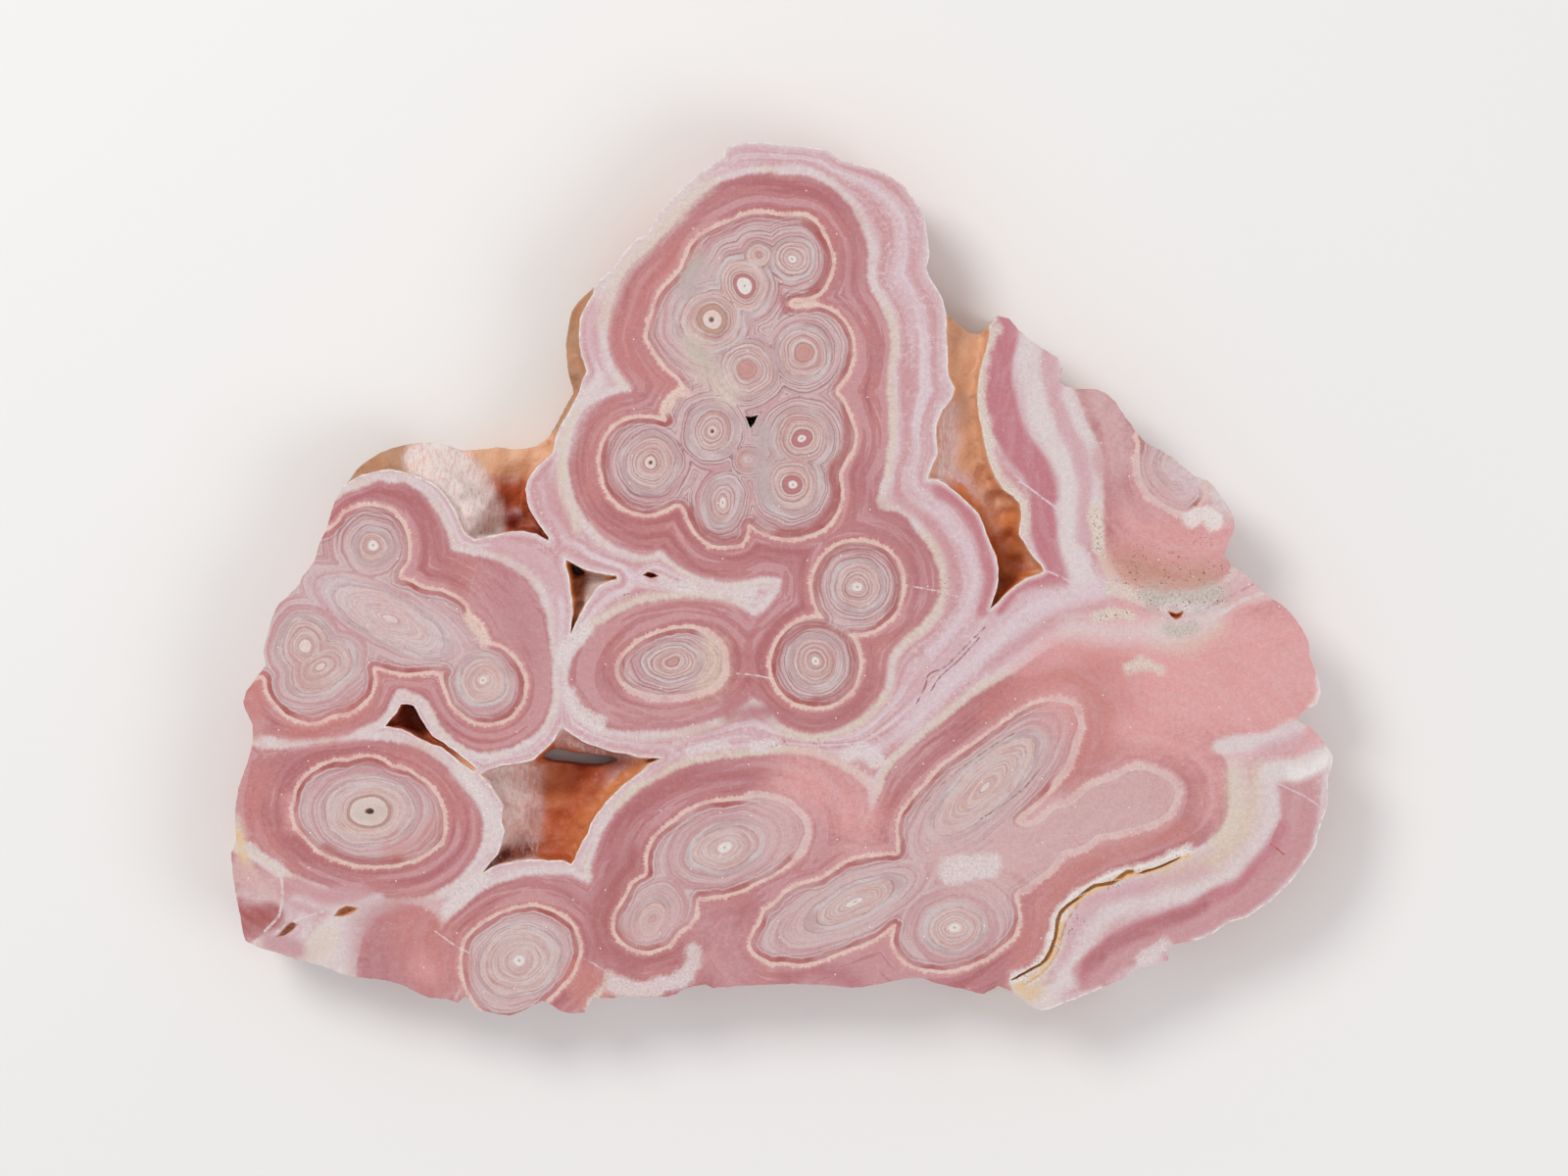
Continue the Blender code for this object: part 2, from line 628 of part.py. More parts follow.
def rose_stone():
    material = bpy.data.materials.new("banded_rhodochrosite")
    material.use_nodes = True
    shader = material.node_tree.nodes["Principled BSDF"]
    shader.inputs["Base Color"].default_value = ROSE
    shader.inputs["Roughness"].default_value = POLISH_ROUGHNESS
    shader.inputs["Metallic"].default_value = 0.0
    return material


def main():
    for old in list(bpy.data.objects):
        bpy.data.objects.remove(old)
    mesh = slice_mesh()
    data = bpy.data.meshes.new("rhodochrosite_slice")
    mesh.to_mesh(data)
    mesh.free()
    data.materials.append(rose_stone())
    stone = bpy.data.objects.new("rhodochrosite_slice", data)
    bpy.context.scene.collection.objects.link(stone)


main()
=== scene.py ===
"""Rhodochrosite slice: the finish of the stone, the floor under it, the light and the camera.

The slice was sawn across a cluster of stalactites that grew together. Each grew outwards from its
own heart, so every band on the polished face follows a growth front: fine rings round the hearts,
a toothed cream line, a rose zone, a second cream line, and lilac or deep rose stripes to the rim.
The lines are drawn on a survey grid, x to the right and y down, where one step is UNIT metres.
Their distances are worked out at every vertex, and the materials turn the distances into colour.
"""

import math

import bpy
import numpy as np
from bpy.props import FloatProperty, FloatVectorProperty, PointerProperty
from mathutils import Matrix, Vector, kdtree, noise
from mathutils.geometry import delaunay_2d_cdt


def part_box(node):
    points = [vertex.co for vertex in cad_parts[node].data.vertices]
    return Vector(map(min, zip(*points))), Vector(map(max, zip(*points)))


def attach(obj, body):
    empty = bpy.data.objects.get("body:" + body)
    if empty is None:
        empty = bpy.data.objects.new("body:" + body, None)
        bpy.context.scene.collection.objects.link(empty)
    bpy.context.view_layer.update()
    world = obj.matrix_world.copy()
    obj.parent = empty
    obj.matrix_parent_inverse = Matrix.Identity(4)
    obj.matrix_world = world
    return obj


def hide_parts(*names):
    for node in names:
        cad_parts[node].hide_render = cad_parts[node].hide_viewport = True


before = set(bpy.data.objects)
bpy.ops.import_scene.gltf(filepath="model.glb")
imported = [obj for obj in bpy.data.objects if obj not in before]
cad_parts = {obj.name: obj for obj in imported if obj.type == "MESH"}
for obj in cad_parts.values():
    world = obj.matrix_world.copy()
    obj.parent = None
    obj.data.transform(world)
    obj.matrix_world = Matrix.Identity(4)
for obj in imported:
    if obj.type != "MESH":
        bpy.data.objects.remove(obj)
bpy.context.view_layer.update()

bl_info = {
    "name": "Rhodochrosite slice",
    "version": (1, 0, 0),
    "blender": (4, 5, 0),
    "location": "View3D > Sidebar > Slice",
    "description": "Dresses the sawn and polished slice and sets the stage round it",
    "category": "Object",
}

NODE = "rhodochrosite_slice"
SLICE_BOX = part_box(NODE)
THICKNESS = SLICE_BOX[1][2] - SLICE_BOX[0][2]

# The survey grid, and the slice between these grid lines.
GRID_LEFT = 236
GRID_RIGHT = 1360
GRID_TOP = 145
GRID_BOTTOM = 1036
GRID_MIDDLE = np.array([(GRID_LEFT + GRID_RIGHT) / 2, (GRID_TOP + GRID_BOTTOM) / 2])
UNIT = (SLICE_BOX[1][0] - SLICE_BOX[0][0]) / (GRID_RIGHT - GRID_LEFT)

# What the camera sees of the grid.
VIEW_MIDDLE = (800, 600)
VIEW_WIDTH = 1600

# Steps between the points of a smoothed line, in grid steps: thin lines, first fronts, second
# fronts with seams and patches, and soft strokes.
LINE_STEP = 2.5
FIRST_STEP = 3
SECOND_STEP = 4
STROKE_STEP = 6

# The furthest that the fields look, in grid steps.
RIM_LIMIT = 60
MARK_LIMIT = 20

# The seed of the smooth shifts, which would start from the clock without one.
NOISE_SEED = 1

# How the stalactites lean on the grid, and the slow change of it from place to place.
LEAN_WAY = np.array([0.9, -0.5])
DRIFT_SHARE = 3
DRIFT_SIZE = 260

# The kinds of core of a heart, from the lowest to the topmost, and the radius of a core that a
# heart doesn't have.
CORES = ("rust", "halo", "pink", "cream", "white")
NO_CORE = -30

# Rows of close-set points round a heart, as radius and count, and beside a thin line.
CORE_RINGS = ((1.3, 6), (2.8, 10), (4.4, 14), (6.2, 18), (8.2, 22))
LINE_MARGIN = 1.6

# The mesh: heights that count as the flat faces, waves of the broken edge, depth at which the
# grains of the skin reach their height (metres), shift of the lattice's points, and the least
# room between them and the close-set ones or the edge (in steps of the lattice).
FLAT_SLACK = 1e-6
FRAY_SIZE = 0.0009
GRAIN_RISE = 0.0008
LATTICE_SHIFT = 0.12
ROOM_BETWEEN = 0.6
ROOM_AT_EDGE = 0.45
EDGE_STEP = 0.0005

# The bake map: its margins, the gap above the face and beside the back, the rows of the side,
# the part of a row that is used, and the steepest slope that still lies flat with the face.
MAP_EDGE = 0.004
MAP_SPAN = 0.99
MAP_TOP = 0.988
GAP_ABOVE = 0.012
GAP_BESIDE = 0.02
SIDE_ROWS = 7
ROW_EDGE = 0.08
ROW_SPAN = 0.84
STEEP = 0.35

# The stage, in metres and, for the sensor, in millimetres.
FLOOR_DROP = 0.00005
SENSOR_WIDTH = 36.0
CLIP_NEAR = 0.01
CLIP_FAR = 20.0

# First growth fronts: the toothed cream line round each stalactite's rings, as closed loops.
FIRST_FRONTS = {
    "tall_lobe": [
        (660, 345), (662, 330), (667, 315), (672, 300), (680, 290), (692, 278), (700, 262),
        (705, 250), (715, 240), (730, 232), (745, 225), (760, 219), (780, 217), (800, 220),
        (815, 219), (830, 224), (840, 238), (848, 255), (850, 270), (847, 283), (838, 298),
        (825, 304), (808, 306), (808, 314), (830, 312), (848, 316), (860, 326), (868, 340),
        (871, 355), (868, 375), (860, 390), (853, 399), (862, 412), (869, 430), (873, 445),
        (870, 460), (862, 472), (857, 485), (859, 500), (858, 512), (852, 528), (840, 540),
        (822, 548), (800, 550), (785, 547), (772, 541), (764, 535), (762, 548), (755, 556),
        (740, 558), (725, 556), (712, 546), (703, 532), (698, 518), (690, 515), (680, 520),
        (665, 525), (650, 524), (635, 518), (622, 505), (615, 490), (612, 472), (615, 452),
        (622, 440), (635, 430), (650, 426), (667, 426), (680, 430), (676, 420), (681, 409),
        (690, 399), (698, 395), (691, 385), (678, 373), (667, 358),
    ],
    "upper_twin": [
        (828, 600), (832, 580), (845, 562), (860, 554), (880, 552), (900, 558), (915, 572),
        (921, 590), (920, 610), (912, 628), (895, 642), (878, 647), (862, 646), (845, 636),
        (834, 622),
    ],
    "lower_twin": [
        (786, 680), (790, 660), (800, 645), (815, 634), (832, 630), (848, 634), (862, 642),
        (873, 656), (878, 675), (874, 695), (865, 709), (850, 719), (833, 722), (815, 719),
        (800, 710), (790, 697),
    ],
    "middle_left": [
        (630, 685), (634, 672), (645, 660), (660, 650), (680, 643), (700, 640), (718, 644),
        (730, 652), (738, 662), (740, 675), (738, 690), (728, 702), (712, 708), (690, 712),
        (665, 711), (645, 704), (634, 695),
    ],
    "left_cluster": [
        (325, 545), (342, 535), (350, 525), (362, 518), (375, 515), (390, 518), (402, 523),
        (410, 533), (416, 545), (418, 560), (416, 572), (410, 582), (408, 590), (420, 593),
        (432, 600), (450, 603), (462, 608), (475, 617), (478, 628), (485, 632), (492, 640),
        (495, 650), (494, 659), (480, 661), (466, 668), (455, 686), (440, 685), (425, 687),
        (410, 687), (395, 684), (381, 681), (382, 692), (380, 705), (378, 710), (368, 720),
        (355, 728), (340, 730), (325, 737), (310, 737), (293, 730), (280, 718), (272, 705),
        (268, 690), (240, 690), (240, 600), (290, 545),
    ],
    "left_cluster_end": [
        (470, 660), (485, 657), (500, 657), (515, 663), (527, 675), (535, 690), (535, 710),
        (530, 722), (520, 732), (505, 738), (490, 738), (475, 732), (462, 720), (455, 705),
        (452, 690), (458, 672),
    ],
    "lower_left": [
        (300, 818), (303, 805), (312, 793), (325, 783), (340, 777), (355, 776), (372, 772),
        (390, 775), (400, 782), (415, 786), (430, 795), (440, 803), (448, 815), (453, 830),
        (454, 845), (450, 858), (440, 868), (425, 877), (405, 882), (385, 884), (365, 883),
        (345, 877), (325, 868), (312, 855), (303, 845), (298, 830),
    ],
    "bottom_left": [
        (475, 960), (485, 948), (500, 938), (515, 930), (530, 926), (545, 924), (560, 928),
        (575, 936), (585, 945), (590, 958), (592, 970), (588, 985), (581, 998), (572, 1008),
        (560, 1019), (545, 1032), (520, 1040), (495, 1034), (481, 1018), (473, 1000),
        (471, 980),
    ],
    "bottom_middle": [
        (660, 880), (662, 868), (668, 855), (676, 847), (685, 840), (695, 832), (705, 826),
        (715, 821), (728, 818), (740, 817), (755, 815), (765, 812), (778, 811), (790, 814),
        (802, 818), (812, 826), (820, 835), (824, 846), (822, 858), (816, 870), (806, 880),
        (795, 889), (780, 897), (765, 905), (750, 911), (735, 914), (720, 916), (712, 917),
        (711, 926), (709, 936), (702, 945), (692, 952), (687, 960), (680, 966), (668, 970),
        (655, 971), (643, 967), (633, 960), (627, 950), (626, 940), (629, 930), (636, 920),
        (642, 908), (647, 900), (653, 896), (660, 892),
    ],
    "lower_right_cluster": [
        (917, 858), (916, 845), (919, 832), (926, 821), (935, 810), (945, 800), (955, 788),
        (963, 780), (975, 772), (990, 762), (1003, 752), (1015, 743), (1028, 734), (1040, 726),
        (1055, 718), (1070, 714), (1085, 714), (1095, 718), (1101, 730), (1103, 742),
        (1098, 755), (1094, 770), (1088, 785), (1078, 797), (1068, 810), (1055, 822),
        (1045, 830), (1038, 838), (1050, 841), (1062, 836), (1070, 827), (1080, 822),
        (1090, 820), (1100, 812), (1110, 803), (1120, 798), (1135, 793), (1150, 785),
        (1162, 783), (1175, 785), (1190, 792), (1200, 800), (1202, 810), (1199, 822),
        (1192, 832), (1180, 840), (1165, 845), (1150, 849), (1138, 852), (1122, 854),
        (1112, 862), (1100, 868), (1088, 870), (1080, 878), (1070, 890), (1060, 897),
        (1050, 905), (1037, 913), (1039, 925), (1040, 938), (1036, 952), (1028, 962),
        (1018, 970), (1008, 977), (995, 983), (980, 988), (965, 991), (950, 990), (935, 987),
        (922, 980), (914, 970), (911, 958), (914, 943), (905, 950), (893, 958), (880, 964),
        (865, 970), (850, 975), (838, 980), (820, 984), (800, 983), (785, 982), (773, 975),
        (765, 965), (768, 953), (775, 942), (780, 930), (790, 922), (800, 912), (812, 904),
        (825, 900), (840, 896), (850, 888), (862, 881), (875, 876), (890, 874), (905, 872),
        (917, 871),
    ],
    "top_right": [
        (1163, 440), (1162, 455), (1160, 468), (1160, 480), (1162, 491), (1167, 500),
        (1175, 508), (1188, 517), (1198, 522), (1210, 526), (1222, 516), (1230, 505),
        (1228, 496), (1240, 480), (1200, 430),
    ],
}

# Second growth fronts: where the rose zone ends and the white or cream band starts.
SECOND_FRONTS = {
    "tall_lobe_and_twins": [
        (760, 179), (780, 177), (800, 178), (825, 180), (845, 189), (860, 202), (870, 215),
        (878, 232), (884, 246), (886, 262), (884, 280), (888, 295), (896, 308), (903, 322),
        (908, 340), (909, 355), (906, 375), (905, 395), (906, 412), (907, 430), (907, 450),
        (904, 468), (901, 485), (897, 501), (896, 518), (920, 524), (936, 543), (950, 562),
        (957, 580), (960, 598), (955, 616), (946, 630), (932, 643), (916, 658), (907, 673),
        (905, 690), (902, 704), (893, 716), (880, 729), (862, 741), (845, 747), (826, 749),
        (808, 744), (794, 735), (782, 722), (770, 713), (758, 720), (742, 728), (720, 737),
        (690, 744), (650, 746), (622, 744), (598, 733), (584, 715), (580, 692), (583, 673),
        (594, 658), (607, 641), (627, 628), (646, 619), (670, 613), (700, 610), (730, 612),
        (754, 619), (768, 628), (780, 622), (792, 608), (797, 592), (780, 588), (765, 592),
        (745, 594), (720, 590), (700, 582), (685, 571), (672, 562), (666, 566), (650, 565),
        (632, 559), (616, 549), (601, 534), (592, 520), (584, 500), (580, 480), (580, 465),
        (583, 447), (588, 430), (596, 418), (610, 409), (628, 402), (645, 398), (636, 385),
        (626, 371), (621, 356), (620, 340), (622, 322), (625, 306), (631, 291), (639, 277),
        (651, 264), (666, 251), (681, 236), (691, 223), (702, 209), (722, 194), (742, 184),
    ],
    "left_cluster": [
        (330, 520), (350, 505), (370, 497), (385, 490), (400, 493), (412, 492), (430, 503),
        (440, 515), (450, 530), (457, 548), (462, 562), (480, 566), (490, 568), (505, 571),
        (519, 578), (532, 587), (543, 598), (550, 610), (556, 624), (559, 641), (561, 660),
        (563, 678), (563, 695), (563, 715), (557, 735), (545, 749), (525, 761), (505, 767),
        (485, 767), (467, 758), (452, 744), (441, 724), (432, 712), (420, 706), (408, 703),
        (401, 712), (393, 728), (376, 739), (355, 748), (335, 753), (310, 755), (290, 754),
        (262, 748), (230, 740), (230, 600), (300, 520),
    ],
    "lower_left": [
        (240, 763), (270, 765), (300, 762), (340, 757), (370, 755), (395, 756), (415, 760),
        (435, 768), (450, 778), (462, 790), (475, 805), (485, 815), (492, 830), (493, 850),
        (488, 868), (478, 885), (462, 900), (440, 912), (415, 917), (390, 917), (365, 914),
        (340, 908), (320, 900), (300, 892), (285, 882), (270, 872), (258, 860), (235, 850),
    ],
    "corner_wedge": [
        (225, 868), (240, 870), (256, 877), (270, 887), (284, 899), (286, 920), (287, 936),
        (275, 948), (255, 962), (225, 970),
    ],
    "bottom_wedge": [
        (365, 1000), (368, 965), (380, 943), (395, 929), (420, 923), (440, 931), (452, 947),
        (462, 958), (470, 1005), (440, 1045), (380, 1030),
    ],
    "right_cluster": [
        (452, 945), (470, 927), (490, 911), (510, 901), (535, 894), (560, 892), (585, 894),
        (603, 901), (603, 885), (608, 868), (615, 848), (627, 830), (642, 815), (661, 801),
        (686, 788), (711, 779), (740, 774), (770, 771), (800, 769), (830, 772), (853, 782),
        (873, 794), (885, 806), (886, 825), (882, 842), (889, 830), (899, 808), (908, 785),
        (923, 769), (942, 752), (962, 737), (980, 722), (1000, 706), (1022, 694), (1045, 680),
        (1070, 662), (1100, 651), (1140, 648), (1175, 652), (1205, 648), (1232, 636),
        (1262, 622), (1300, 612), (1345, 615), (1400, 640), (1390, 720), (1325, 735),
        (1300, 746), (1270, 754), (1240, 760), (1250, 775), (1255, 800), (1253, 830),
        (1243, 848), (1225, 863), (1188, 878), (1150, 893), (1117, 905), (1100, 916),
        (1084, 930), (1077, 955), (1067, 977), (1050, 990), (1031, 1001), (1000, 1060),
        (460, 1080), (470, 1010), (455, 965),
    ],
    "top_right": [
        (1085, 375), (1093, 392), (1103, 412), (1110, 432), (1120, 452), (1126, 470),
        (1126, 495), (1126, 515), (1125, 545), (1131, 568), (1146, 590), (1170, 602),
        (1200, 606), (1235, 600), (1252, 586), (1262, 572), (1310, 540), (1250, 420),
        (1150, 360),
    ],
}

# Where two stalactites grew up against each other, with no open space between.
SEAMS = [
    [(1012, 620), (1000, 640), (985, 660), (965, 682), (945, 704), (925, 724), (905, 741),
     (880, 756), (850, 760), (820, 760), (790, 756), (760, 751), (730, 757), (700, 765)],
    [(1066, 583), (1080, 590), (1097, 597)],
    [(582, 648), (577, 670), (574, 700), (573, 742)],
    [(668, 586), (700, 598), (730, 602), (760, 606), (790, 606)],
    [(495, 890), (480, 902), (462, 915), (445, 925)],
    [(393, 741), (370, 750), (340, 755), (300, 759), (258, 757)],
]

# Stretches of the slice's edge that are broken or sawn, as (left, top, right, bottom): no growth
# band follows them, nor the small holes and the crack.
BROKEN_EDGES = [
    (1014, 300, 1100, 402), (1095, 385, 1275, 592), (1255, 560, 1365, 768),
    (225, 590, 300, 985), (280, 480, 352, 640), (285, 955, 1062, 1050),
    (325, 915, 380, 945), (275, 930, 310, 965), (1180, 615, 1215, 640),
    (715, 315, 735, 335), (715, 430, 735, 450), (655, 462, 675, 482), (365, 818, 390, 838),
    (750, 415, 785, 445), (1028, 862, 1220, 1008), (650, 580, 680, 595),
]

# The hearts of the stalactites: x, y, half length and half width of the disc of rings, turn in
# degrees (clockwise), width of the clear stone round it, and the radius of each part of its core.
HEARTS = [
    (726, 326, 31, 30, 0, 9, {"rust": 15, "cream": 10}),
    (760, 291, 25, 28, -20, 6, {"halo": 12, "white": 8}), (774, 260, 14, 13, 0, 2, {"pink": 3}),
    (809, 264, 18, 18, 0, 6, {"white": 4}), (820, 360, 24, 25, 0, 6, {"pink": 10}),
    (762, 377, 26, 26, 0, 5, {"pink": 10}), (727, 440, 19, 20, 0, 11, {"cream": 6}),
    (664, 472, 25, 26, 0, 7, {"cream": 6}), (738, 512, 13, 18, 10, 10, {"white": 4}),
    (818, 447, 26, 25, 0, 8, {"halo": 10, "white": 4.2}),
    (808, 494, 26, 27, 0, 9, {"halo": 10, "white": 4.4}), (764, 470, 14, 12, 0, 3, {}),
    (875, 598, 23, 23, 0, 6, {"white": 5}), (832, 675, 23, 23, 0, 7, {"white": 4}),
    (686, 676, 26, 17, -5, 5, {"pink": 5}), (380, 557, 15, 15, 0, 7, {"white": 5}),
    (398, 632, 62, 22, 27, 7, {"cream": 6}), (311, 659, 23, 26, 0, 8, {"cream": 7}),
    (328, 681, 34, 22, -30, 6, {"cream": 5}), (493, 695, 23, 23, 0, 5, {"white": 4}),
    (377, 828, 46, 34, -3, 3, {"rust": 19, "cream": 17}), (530, 980, 42, 34, -25, 3, {"white": 5}),
    (740, 865, 34, 21, -18, 7, {"white": 6}), (665, 938, 14, 20, 30, 4, {"pink": 3}),
    (1005, 803, 68, 24, -44, 7, {"cream": 5}), (872, 921, 44, 15, -26, 8, {"white": 5}),
    (974, 947, 26, 21, -8, 7, {"white": 5}), (1203, 474, 20, 21, 0, 6, {}),
]

